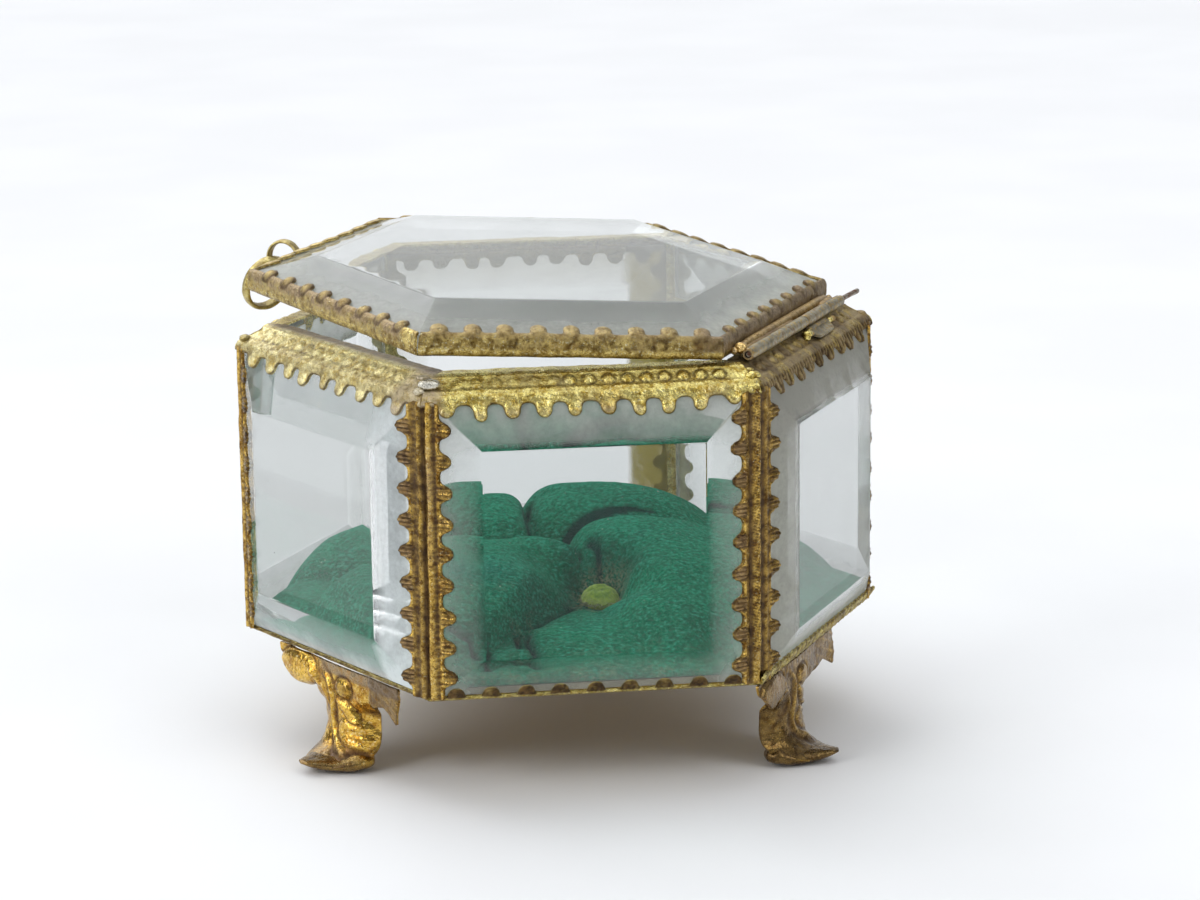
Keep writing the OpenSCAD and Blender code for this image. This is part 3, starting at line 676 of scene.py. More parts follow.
# ---------------------------------------------------------------- top strips
def top_strip(k):
    pr = Profile([(33.2, 44.05), (35.35, 44.05), (38.60, 42.16), (EDGE_C + 0.04 + 0.424 * 4.2, WALL_H - 0.906 * 4.2)], 0.35)
    t_rim = pr.where((35.35, 44.05))
    t_sh = pr.where((38.62, 42.2))
    rs = np.random.RandomState(11 + k)
    cnt, pitch, w0, L0, soft = {FRONT: (10, 4.22, 0.98, 3.70, 1.05), RFRONT: (9, 4.1, 1.12, 2.95, 0.75), LFRONT: (9, 4.45, 1.14, 3.45, 0.80), LBACK: (8, 4.65, 1.00, 3.05, 0.60)}.get(k, (9, 4.4, 1.08, 3.45, 0.85))
    cs = (np.arange(cnt) - (cnt - 1) / 2) * pitch + rs.uniform(-0.16, 0.16, cnt) - (0.2 if k == FRONT else 0.1 if k == LFRONT else 0)
    wid = w0 + rs.uniform(-0.10, 0.10, cnt)
    tip = L0 + rs.uniform(-0.28, 0.20, cnt)
    lean = rs.uniform(-0.13, 0.13, cnt) + (0.10 if k == LFRONT else 0)
    if k == FRONT:
        tip[0], tip[-1] = 3.1, 2.8
    if k == LFRONT:
        wid[4] *= 0.72
        tip[4] *= 0.93

    def sd(s, t):
        q = t - t_sh
        band = 1.45 - q
        cap = np.full(np.shape(s), -9.0)
        for c, w, L, ln in zip(cs, wid, tip, lean):
            ww = w * (1.06 - 0.10 * sstep(q, 1.6, 3.4))
            qq = np.clip(q, 0.2, L - w)
            d = ww - np.hypot(s - c - ln * q, q - qq)
            cap = np.maximum(cap, d)
        return smax(band, cap, soft)

    def f(s, t):
        w, _ = pr.at(np.clip(t, 0, pr.length))
        return np.minimum(np.minimum(sd(s, t), t - 0.03), (w + 0.28) * T30 - 0.02 - np.abs(s))

    crisp = {FRONT: lambda s: 0.34 + 0.66 * sstep(s, -6, 0), LFRONT: lambda s: 0.5 + 0 * s, RFRONT: lambda s: 0.75 + 0 * s}.get(k, lambda s: 0.9 + 0 * s)

    def relief(s, t):
        q = t - t_sh
        g = sd(s, t)
        P = xyseed(s, t, k)
        on_leaf = sstep(q, -0.15, 0.45)
        teeth = 0.30 * (1 - np.exp(-np.maximum(g, 0) / 0.38)) + 0.08 * noise(P, 0.95, 13 + k, 2) * sstep(g, 0.1, 0.5)
        between = np.min(np.abs(np.subtract.outer(np.asarray(s), np.concatenate([cs - pitch / 2, cs[-1:] + pitch / 2]))), axis=-1)
        teeth = teeth + 0.13 * gauss(g - 0.30, 0.20) * gauss(between, 0.95) + 0.07 * gauss(np.mod(q * 1.0 + 0.3 * noise(P, 1.2, 15 + k), 0.85) - 0.42, 0.17) * sstep(q, 1.5, 2.0) * sstep(g, 0.1, 0.4)
        d = teeth * on_leaf
        b = t - t_rim
        slope = sstep(b, 0.1, 0.5) * (1 - on_leaf)
        i = np.round(s / 2.5)
        hidden = (k == RFRONT) & (i >= 1) & (i <= 5)
        jx = (hash01(np.stack([i.ravel(), i.ravel() * 0 + k], 1).astype(int), 7).reshape(np.shape(s)) - 0.5) * 0.35
        rr = np.hypot(s - i * 2.5 - jx, (b - 1.95) * 0.95) / 0.84
        dome = np.sqrt(np.clip(1 - rr ** 2, 0, 1)) * (np.abs(i) <= 7) * ~hidden
        amp = 0.44 * crisp(s) * (0.70 + 0.5 * hash01(np.stack([i.ravel(), i.ravel() * 0 + k], 1).astype(int), 5).reshape(np.shape(s)))
        d = d + slope * (dome * amp - 0.07 * gauss(b - 1.95, 0.9) + 0.10 * gauss(b - 0.55, 0.25))
        d = d + 0.13 * gauss(b - 3.45, 0.50) * (1 - 0.5 * on_leaf) - 0.05 * gauss(b - 2.85, 0.35)
        d = d + 0.09 * noise(P, 2.4, 3 + k, 2) + 0.035 * noise(P, 0.75, 9 + k, 2)
        if k == LFRONT:
            d = d + 0.14 * noise(P, 0.80, 19, 2) * slope
        if k == RFRONT:
            d = d + 0.13 * np.cos(s * 2 * math.pi / 0.95 + 1.6 * noise(P, 2.0, 17, 2)) * sstep(q, 0.2, 0.9)
        d = np.maximum(d, -0.15)
        # dented where the ring knocks against it
        return d * (1 - 0.9 * np.exp(-(s / 4.5) ** 4)) if k == LBACK else d

    def surf(s, t):
        w, z = pr.at(np.clip(t, 0, pr.length))
        over = np.maximum(t - pr.length, 0)
        P2 = np.stack([np.asarray(s, float) * 1.0, np.full(np.shape(s), 7.0 * k)], 1)
        ends = 1 - np.clip(np.abs(s) / 21.0, 0, 1) ** 4
        wave = 0.13 * noise(P2, 9.0, 21 + k) * ends
        return np.stack([s, -(w + wave * 0.6 + 0.424 * over), z + wave * 0.5 - 0.906 * over], 1)

    def masks(s, t):
        q, b = t - t_sh, t - t_rim
        g = sd(s, t)
        P = xyseed(s, t, k)
        n1, n2 = noise(P, 4.0, 31 + k, 3), noise(P, 1.2, 41 + k, 2)
        # dark outline along the finger edges: painted shadow under the sheet edge, with dirt
        rec = 0.80 * (1 - sstep(g, 0.03, 0.20)) * sstep(q, 0.7, 1.2) + 0.30 * sstep(n2, 0.1, 0.7) * sstep(q, 0.3, 1.0)
        i = np.round(s / 2.5)
        rr = np.hypot(s - i * 2.5, (b - 1.95) * 0.95)
        # dark rings round the beads and dark lines along the grooves: painted shade
        rec = rec + 0.22 * gauss(rr - 1.0, 0.25) * (np.abs(b - 1.95) < 1.2) * (0.3 + 0.5 * crisp(s)) + 0.18 * gauss(b - 2.85, 0.4) + 0.22 * gauss(b - 0.2, 0.25)
        rec = np.clip(rec * (0.75 + 0.5 * n2) + 0.22 * sstep(n1, 0.25, 0.7), 0, 1)
        tips = sstep(q, 2.0, 2.9) * sstep(g, 0.12, 0.40) * (0.55 + 0.6 * n2)
        tar = 0.18 * sstep(n1, 0.1, 0.6) + tips * 0.55
        brz = 0.10 * sstep(n1, 0.2, 0.8) + 0.35 * sstep(q, 2.2, 3.2) * sstep(n2, -0.2, 0.5)
        if k == FRONT:
            tar = tar + 0.75 * sstep(-s, 19.0, 21.0)
        if k == LFRONT:
            tar = tar * 0.6 + 0.6 * sstep(s, 14.5, 18.0) + 0.75 * (1 - sstep(b, -0.6, 0.5))
            brz = brz + 0.85 * (1 - sstep(b, -0.9, 0.25)) + 0.55 * sstep(b, 2.9, 3.5) * (1 - sstep(q, 1.6, 2.2)) * (0.6 + 0.5 * n2)
        if k == RFRONT:
            tar = tar * 0.6 + 0.70 - 0.55 * sstep(n2, -0.1, 0.5)
            # bronze darkest in the grooves between the relief ridges: painted shade
            brz = brz + 0.85 * sstep(q, 0.2, 0.9) * (0.55 + 0.55 * np.cos(s * 2 * math.pi / 0.95 + 1.6 * noise(P, 2.0, 17, 2) + math.pi)) + 0.45 * sstep(n1, 0.0, 0.4) + 0.9 * sstep(s, 17.0, 19.5) * sstep(q, -0.5, 0.8)
            rec = rec * 0.8
        if k in (RBACK, BACK, LBACK):
            tar = tar + 0.2
        return np.stack([rec, np.clip(tar, 0, 1), np.clip(brz, 0, 1), np.zeros(len(s))], 1)

    arr = sheet_arrays(f, (-23.8, 23.8, 0, pr.length + 0.2), FINE[k], surf, relief, 0.32, flip=True, masks=masks, polish=0.45)
    ob = mesh_object("top_strip_" + SIDES[k], *arr, {RFRONT: M_OLIVE, LFRONT: M_LFGOLD}.get(k, M_GOLD), place=side_box(k))
    return put(ob, "box", "top_rail_" + SIDES[k])


# ---------------------------------------------------------------- bottom strips
def bottom_strip(k):
    sb, cb = math.sin(SLOPE_BOT), math.cos(SLOPE_BOT)
    pr = Profile([(34.3, 0.33), (38.70, 0.33), (EDGE_C + 0.04 + sb * 2.6, 0.06 + cb * 2.6)], 0.22)
    t_c = pr.where((38.72, 0.34))
    rs = np.random.RandomState(71 + k)
    cs = (np.arange(9) - 4.0) * 4.7 + (2.35 if k != LFRONT else 0.8) - 2.35 + rs.uniform(-0.1, 0.1, 9)
    if k != FRONT:
        cs = cs + 0.0
    r0 = 1.24 if k == FRONT else 1.16
    hgt = {LFRONT: 0.25, FRONT: 1.62}.get(k, 1.15)

    def sd(s, t):
        q = t - t_c
        band = (1.9 if k == RFRONT else 0.42) - q
        cap = np.full(np.shape(s), -9.0)
        for c in cs:
            cap = np.maximum(cap, r0 - np.hypot(s - c, (q - 0.35) * (r0 / hgt)))
        return smax(band, cap, 0.25)

    def f(s, t):
        w, _ = pr.at(np.clip(t, 0, pr.length))
        return np.minimum(np.minimum(sd(s, t), t - 0.03), (w + 0.2) * T30 - 0.02 - np.abs(s))

    def relief(s, t):
        q = t - t_c
        g = sd(s, t)
        P = xyseed(s, t, k + 10)
        leaf = sstep(q, 0.0, 0.3)
        d = leaf * (0.16 * (1 - np.exp(-np.maximum(g, 0) / 0.22)) + 0.06 * gauss(g - 0.16, 0.10))
        near = np.min(np.abs(np.subtract.outer(np.asarray(s), cs)), axis=-1)
        i = np.argmin(np.abs(np.subtract.outer(np.asarray(s), cs)), axis=-1)
        a = np.arctan2(s - cs[i], q + 0.4)
        d = d + leaf * (near < 1.2) * 0.07 * np.cos(a * 9)
        d = d + 0.03 * noise(P, 1.6, 51 + k, 2)
        if k == RFRONT:
            d = d + leaf * (0.26 * np.abs(np.cos((s - 0.9 * q) * math.pi / 1.75)) - 0.05)
        return d

    def surf(s, t):
        w, z = pr.at(np.clip(t, 0, pr.length))
        over = np.maximum(t - pr.length, 0)
        return np.stack([s, -(w + sb * over), z + cb * over], 1)

    def masks(s, t):
        q = t - t_c
        g = sd(s, t)
        P = xyseed(s, t, k + 10)
        n1, n2 = noise(P, 3.0, 61 + k, 3), noise(P, 0.9, 67 + k, 2)
        tooth = sstep(q, 0.35, 0.6)
        # dark along the sheet edge: painted shade
        rec = 0.45 * tooth + 0.2 * n2 + 0.25 * sstep(-g, -0.12, 0.0)
        brz = 1.1 * tooth * (0.85 + 0.25 * n2) + 0.35 * sstep(n1, 0.0, 0.6)
        if k == LFRONT:
            brz = 0.85 - 0.5 * sstep(n1, 0.1, 0.5) + 0.2 * n2
        if k == RFRONT:
            brz = 0.35 + 0.3 * n2
            # dark in the valleys between the slanted ribs: painted shade
            rec = 0.25 + 0.35 * n2 + 0.75 * (1 - sstep(np.abs(np.cos((s - 0.9 * q) * math.pi / 1.75)), 0.15, 0.6)) * (q > 0.1)
        tar = 0.25 * sstep(n1, 0.1, 0.5)
        return np.stack([np.clip(rec, 0, 1), tar, np.clip(brz, 0, 1), np.zeros(len(s))], 1)

    arr = sheet_arrays(f, (-23.6, 23.6, 0, pr.length), FINE[k] * 0.85, surf, relief, 0.30, flip=False, masks=masks, polish=0.15)
    ob = mesh_object("bottom_strip_" + SIDES[k], *arr, M_GOLD, place=side_box(k))
    return put(ob, "box", "bottom_rail_" + SIDES[k])


# ---------------------------------------------------------------- corner posts
def corner_post(k):
    """Between side k and side k + 1. q < 0 lies on side k, q > 0 on side k + 1."""
    w0 = EDGE_C + 0.04
    u0 = w0 * T30
    cs_, sn_ = math.cos(SLOPE_SIDE), math.sin(SLOPE_SIDE)
    Rn = rot_axis((0, 0, 1), 60)
    rs = np.random.RandomState(101 + k)
    zc = 3.5 + 4.3 * np.arange(9)
    jitL, jitR = zc + rs.uniform(-0.15, 0.15, 9), zc + rs.uniform(-0.15, 0.15, 9)
    lenL, lenR = 4.45 + rs.uniform(-0.2, 0.15, 9), 4.15 + rs.uniform(-0.2, 0.15, 9)
    fine_cols = k == 0

    def sd(q, z):
        a = np.abs(q)
        left = q < 0
        band = np.where(left, 2.75, 2.35) - a
        cap = np.full(np.shape(q), -9.0)
        for zs, ls, on in ((jitL, lenL, left), (jitR, lenR, ~left)):
            for c, L in zip(zs, ls):
                r = 1.10
                aa = np.clip(a, 0.5, L - r)
                d = r - np.hypot((z - c) * (1 + 0.22 * sstep(a, 2.6, 4.2)), a - aa)
                cap = np.where(on, np.maximum(cap, d), cap)
        return smax(band, cap, 0.95)

    def f(q, z):
        a = np.abs(q)
        ends = np.minimum(z - 0.55, (WALL_H - 0.75) - z)
        corners = np.minimum(z - 0.55 - (a - 2.2) * 0.55, WALL_H - 0.9 - z - (a - 1.8) * 0.55)
        return np.minimum(np.minimum(sd(q, z), ends), corners)

    def relief(q, z):
        a = np.abs(q)
        g = sd(q, z)
        P = xyseed(q, z, k + 20)
        left = q < 0
        edge = 0.20 * (1 - np.exp(-np.maximum(g, 0) / 0.28)) + 0.05 * gauss(g - 0.18, 0.13)
        c = np.where(left[..., None] if np.ndim(left) else left, jitL, jitR)
        i = np.argmin(np.abs(np.asarray(z)[..., None] - c), axis=-1)
        zi = np.take_along_axis(c, i[..., None], -1)[..., 0]
        ang = np.arctan2(z - zi, a - 0.6)
        near = sstep(1.35 - np.abs(z - zi), 0, 0.35) * sstep(a, 1.7, 2.5)
        fan = 0.11 * np.cos((z - zi) * (1 - 0.10 * (a - 2.2)) * 2 * math.pi / 0.54) * near
        tooth_body = 0.16 * near * gauss((z - zi), 0.95)
        rim = sstep(np.abs(z - zi), 0.9, 1.3) * gauss(g - 0.22, 0.16) * (a > 1.6)
        d = edge + fan + tooth_body + 0.15 * rim
        if fine_cols:
            ribs = 0.26 * np.abs(np.cos((z + 0.35 * q) * math.pi / 0.46)) ** 0.8
            col = gauss(q + 0.45, 0.62) * (np.abs(q + 0.45) < 1.0)
            d = d + 0.30 * gauss(q + 0.45, 0.55) + ribs * np.clip(col, 0, 1) * sstep(z, 5.0, 6.0) - 0.20 * gauss(q + 1.55, 0.28) - 0.16 * gauss(q - 0.75, 0.30)
            d = d + 0.12 * gauss(q - 1.45, 0.35)
        else:
            wob = 0.16 * noise(np.stack([z * 0 + 3.0 * k, z], 1), 7.0, 85 + k)
            d = d + 0.50 * gauss(q - 0.85 - wob, 0.42) - 0.24 * gauss(q + 0.02 - wob, 0.32) + 0.24 * gauss(q + 0.85 - wob, 0.40) - 0.07 * gauss(q + 1.7, 0.3) - 0.07 * gauss(q - 1.75, 0.28)
            d = d + 0.035 * np.cos(z * 2 * math.pi / 0.8) * (gauss(a - 1.7, 0.5))
        d = d + 0.07 * noise(P, 2.2, 81 + k, 2) + 0.03 * noise(P, 0.7, 83 + k, 2)
        return np.maximum(d, -0.14)

    def surf(q, z):
        a = np.sqrt(np.asarray(q, float) ** 2 + 0.05) - 0.2236
        L = np.stack([u0 - a * cs_, -(w0 + a * sn_), z], 1)
        Rr = np.stack([-u0 + a * cs_, -(w0 + a * sn_), z], 1) @ Rn.T
        return np.where((np.asarray(q) < 0)[:, None], L, Rr)

    def masks(q, z):
        a = np.abs(q)
        g = sd(q, z)
        P = xyseed(q, z, k + 20)
        left = q < 0
        n1, n2 = noise(P, 5.0, 91 + k, 3), noise(P, 1.0, 95 + k, 2)
        c = np.where(left[..., None], jitL, jitR)
        i = np.argmin(np.abs(np.asarray(z)[..., None] - c), axis=-1)
        zi = np.take_along_axis(c, i[..., None], -1)[..., 0]
        tooth = sstep(1.15 - np.abs(z - zi), 0, 0.3) * sstep(a, 2.0, 2.6)
        tipz = tooth
        rim = sstep(np.abs(z - zi), 0.9, 1.3) * (1 - sstep(g, 0.35, 0.60)) * (a > 1.6)
        # dark groove, dark band at the tooth roots and dark tooth outlines: painted shade in the hollows, with dirt
        rec = 1.0 * gauss(q + 0.12, 0.48) + 0.50 * gauss(a - 1.70, 0.50) + 0.55 * (1 - sstep(g, 0.03, 0.16)) + 0.25 * sstep(n2, 0.0, 0.6)
        tar = 0.15 * sstep(n1, 0.0, 0.6) + 0.60 * tooth * left * sstep(g, 0.1, 0.35)
        brz = np.where(left, 0.58, 0.30 * sstep(q, 1.2, 1.6)) * (1 + 0.4 * n1 + 0.25 * n2) + tooth * (0.42 + 0.35 * n2)
        rec, tar, brz = rec * (1 - 0.85 * rim), tar * (1 - 0.9 * rim), brz * (1 - 0.95 * rim)
        if k == 0:
            ribs = np.abs(np.cos((z + 0.35 * q) * math.pi / 0.46))
            onc = (np.abs(q + 0.45) < 0.95)
            # dark in the relief troughs beside the column and between its milled ribs: painted shade
            rec = (0.65 * gauss(q + 1.55, 0.35) + 0.65 * gauss(q - 0.75, 0.38) + 0.45 * (1 - sstep(g, 0.03, 0.16)) + 0.15 * n2) * (1 - 0.8 * rim)
            rec = rec + 0.60 * (1 - sstep(ribs, 0.1, 0.6)) * onc * (z > 5)
            brz = np.where(onc, 0.40 + 0.2 * n2, 0.78 + 0.25 * n2) * (1 - 0.85 * rim * (q < 0))
        if k == 5:
            bright = gauss(z - 4.5, 4.5) * gauss(q - 1.0, 1.8)
            brz = brz * (1 - 0.8 * bright)
            rec = rec * (1 - 0.5 * bright)
            tar = tar + 0.5 * gauss(q - 0.9, 0.5) * sstep(z, 18, 26) * (1 - sstep(z, 34, 38)) * 0.6
        sol = np.zeros(len(q))
        return np.stack([np.clip(rec, 0, 1), np.clip(tar, 0, 1), np.clip(brz, 0, 1), sol], 1)

    step = min(FINE[k], FINE[(k + 1) % 6]) * 0.95
    arr = sheet_arrays(f, (-4.9, 4.9, 0.3, WALL_H - 0.5), step, surf, relief, 0.28, flip=False, masks=masks, polish=0.6)
    ob = mesh_object("corner_post_" + POSTS[k], *arr, M_LFGOLD if k in (2, 3) else M_POST, place=side_box(k))
    return put(ob, "box", "post_" + POSTS[k])


# ---------------------------------------------------------------- lid strips
def lid_strip(k):
    a = math.atan((LID_TOP - LID_EDGE_C) / (LID_EDGE - LID_FLATS[k]))
    ca, sa = math.cos(a), math.sin(a)
    pr = Profile([(33.5, 0.33), (35.44, 0.33), (35.44, 2.80), (35.417 - ca * 3.0, 2.78 + sa * 3.0)], 0.62)
    t_low = pr.where((35.44, 0.5))
    t_top = pr.where((35.44, 2.86))
    rs = np.random.RandomState(131 + k)
    cnt, pitch = (9, 4.42) if k == FRONT else (8, 4.6)
    cs = (np.arange(cnt) - (cnt - 1) / 2) * pitch + rs.uniform(-0.12, 0.12, cnt) + (0.2 if k == FRONT else 0)
    small = k in (RFRONT, LFRONT)
    rad = (0.86 if small else 1.16) + rs.uniform(-0.08, 0.08, cnt)
    L0 = 1.75 if small else 2.55

    def sd(s, t):
        q = t - t_top
        band = 0.50 - q
        cap = np.full(np.shape(s), -9.0)
        for c, r in zip(cs, rad):
            qq = np.clip(q, 0.0, L0 - r)
            cap = np.maximum(cap, r - np.hypot(s - c, q - qq))
        return smax(band, cap, 0.55)

    def f(s, t):
        w, _ = pr.at(np.clip(t, 0, pr.length))
        gap = 0.02
        lim = (w + 0.25) * T30 - gap - np.abs(s)
        if k == FRONT:   # open seam at the front left corner
            lim = np.minimum(lim, s + (w + 0.25) * T30 - 0.30 - 0.10 * sstep(t, t_low, t_top))
        return np.minimum(np.minimum(sd(s, t), t - 0.03), lim)

    def relief(s, t):
        q = t - t_top
        g = sd(s, t)
        P = xyseed(s, t, k + 30)
        leaf = sstep(q, -0.3, 0.4)
        near = np.min(np.abs(np.subtract.outer(np.asarray(s), cs)), axis=-1)
        i = np.argmin(np.abs(np.subtract.outer(np.asarray(s), cs)), axis=-1)
        qc = L0 - 1.15
        rr = np.hypot(s - cs[i], (q - qc) * 0.95) / (0.86 if small else 1.16)
        lobe = (0.30 if small else 0.16) * np.sqrt(np.clip(1 - rr ** 2, 0, 1))
        shell = 0.030 * np.cos(rr * 2 * math.pi / 0.34) * (rr < 1.0)
        d = leaf * (0.14 * (1 - np.exp(-np.maximum(g, 0) / 0.2)) + lobe + shell)
        wall = sstep(t, t_low + 0.2, t_low + 0.6) * (1 - leaf)
        d = d + wall * (0.10 * noise(P, 0.75, 141 + k, 2) + 0.05)
        d = d + 0.09 * noise(P, 3.0, 143 + k, 2)
        if k == LBACK:
            d = d * 0.7
        return np.maximum(d, -0.12)

    def surf(s, t):
        w, z = pr.at(np.clip(t, 0, pr.length))
        over = np.maximum(t - pr.length, 0)
        P2 = np.stack([np.asarray(s, float), np.full(np.shape(s), 5.0 * k)], 1)
        ends = 1 - np.clip(np.abs(s) / 19.5, 0, 1) ** 4
        wave = 0.12 * noise(P2, 8.0, 151 + k) * ends * sstep(t, 1.0, 2.6)
        return np.stack([s, -(w + wave - ca * over), z + 0.4 * wave + sa * over], 1)

    def masks(s, t):
        q = t - t_top
        g = sd(s, t)
        P = xyseed(s, t, k + 30)
        n1, n2 = noise(P, 4.5, 161 + k, 3), noise(P, 0.8, 163 + k, 2)
        i = np.argmin(np.abs(np.subtract.outer(np.asarray(s), cs)), axis=-1)
        rr = np.hypot(s - cs[i], (q - L0 + 1.15) * 0.95) / (0.86 if small else 1.16)
        lip = 1 - sstep(t, t_low + 0.5, t_low + 0.8)
        wall = sstep(t, t_low + 0.55, t_low + 0.9) * (1 - sstep(q, -0.5, 0.3))
        # dark rings round the teeth and a dark line where the lip meets the wall: painted shade
        rec = (0.75 if small else 0.30) * gauss(rr - 1.15, 0.24) * (q > -0.6) + 0.30 * wall * (0.4 + n2)
        rec = rec + 0.25 * gauss(t - (t_low + 0.75), 0.16)
        tar = 0.60 * sstep(q, -1.0, 0.0) + 0.15 * n1
        brz = 0.22 * sstep(n1, 0.0, 0.5)
        if k == FRONT:
            tar = 0.15 * sstep(n1, -0.2, 0.5) + 0.50 * sstep(q, -0.5, 0.3) + 0.20 * wall * sstep(n2, 0.0, 0.5) + 0.4 * sstep(s, 15.0, 19.0)
            brz = (0.30 + 0.25 * sstep(s, 10, 18) + 0.2 * n1 + 0.50 * sstep(-n2, 0.0, 0.4)) * wall + 0.30 * sstep(q, -0.6, 0.2) + 0.50 * lip * (0.7 + 0.5 * n1)
        if k == LFRONT:
            tar = 0.90 * (1 - 0.75 * sstep(n2, 0.0, 0.5) * wall) * (1 - 0.9 * sstep(s, 16.5, 17.6)) * (1 - 0.85 * gauss(rr, 0.7) * (q > 0)) * (1 - 0.6 * sstep(t_low + 1.6 - t, 0, 0.6)) + 0.06
            brz = 0.05 + 0.40 * gauss(rr, 0.8) * (q > 0)
        if k == RFRONT:
            tar = 0.95 - 0.85 * gauss(rr, 0.6) * (q > 0) * (hash01(np.stack([i, i * 0 + 3], 1), 9) > 0.35) - 0.25 * sstep(n2, 0.1, 0.6)
            brz = 0.22 + 0.2 * n1
            rec = rec * 0.6
        if k == LBACK:
            tar = 0.3 + 0.2 * n1
        tar = tar * (1 - 0.9 * lip)
        brz = np.where(lip > 0.5, 0.22 + 0.3 * sstep(n1, 0.1, 0.7) + 0.4 * gauss(t - t_low + 0.2, 0.25), brz)
        return np.stack([np.clip(rec, 0, 1), np.clip(tar, 0, 1), np.clip(brz, 0, 1), np.zeros(len(s))], 1)

    arr = sheet_arrays(f, (-21.9, 21.9, 0, pr.length), FINE[k], surf, relief, 0.32, flip=False, masks=masks, polish=0.35)
    ob = mesh_object("lid_strip_" + SIDES[k], *arr, M_OLIVE if k == RFRONT else M_LIDGOLD, place=side_lid(k))
    return put(ob, "lid", "lid_rail_" + SIDES[k])


for k in range(6):
    top_strip(k)
    bottom_strip(k)
    corner_post(k)
    lid_strip(k)


# ---------------------------------------------------------------- glass
def solid_from_planes(planes, reach=90.0):
    """Convex solid: each plane is (point, outward normal), in millimetres."""
    bm = bmesh.new()
    bmesh.ops.create_cube(bm, size=reach * 2)
    for p, n in planes:
        geom = bm.verts[:] + bm.edges[:] + bm.faces[:]
        cut = bmesh.ops.bisect_plane(bm, geom=geom, dist=1e-5, plane_co=Vector(p), plane_no=Vector(n).normalized(), clear_outer=True)
        edges = [e for e in cut["geom_cut"] if isinstance(e, bmesh.types.BMEdge)]
        if edges:
            bmesh.ops.contextual_create(bm, geom=edges)
    bmesh.ops.remove_doubles(bm, verts=bm.verts[:], dist=1e-4)
    bmesh.ops.recalc_face_normals(bm, faces=bm.faces[:])
    return bm


def glass_object(name, bm, place, haze, cuts, round_if, offset=0.16, mat=None):
    edges = [e for e in bm.edges if round_if(e)]
    if edges:
        bmesh.ops.bevel(bm, geom=edges, offset=offset, offset_type="OFFSET", segments=2, profile=0.5, affect="EDGES")
    for p, n in cuts:
        bmesh.ops.bisect_plane(bm, geom=bm.verts[:] + bm.edges[:] + bm.faces[:], dist=1e-4, plane_co=Vector(p), plane_no=Vector(n))
    me = bpy.data.meshes.new(name)
    bm.to_mesh(me)
    bm.free()
    n = len(me.vertices)
    co = np.empty(n * 3, np.float32)
    me.vertices.foreach_get("co", co)
    co = co.reshape(-1, 3).astype(float)
    at = me.attributes.new("haze", "FLOAT", "POINT")
    at.data.foreach_set("value", np.clip(haze(co), 0, 1).astype(np.float32))
    me.vertices.foreach_set("co", place(co).astype(np.float32).ravel())
    me.update()
    me.shade_smooth()
    me.set_sharp_from_angle(angle=math.radians(7))
    ob = bpy.data.objects.new(name, me)
    bpy.context.scene.collection.objects.link(ob)
    me.materials.append(mat or M_GLASS)
    return ob


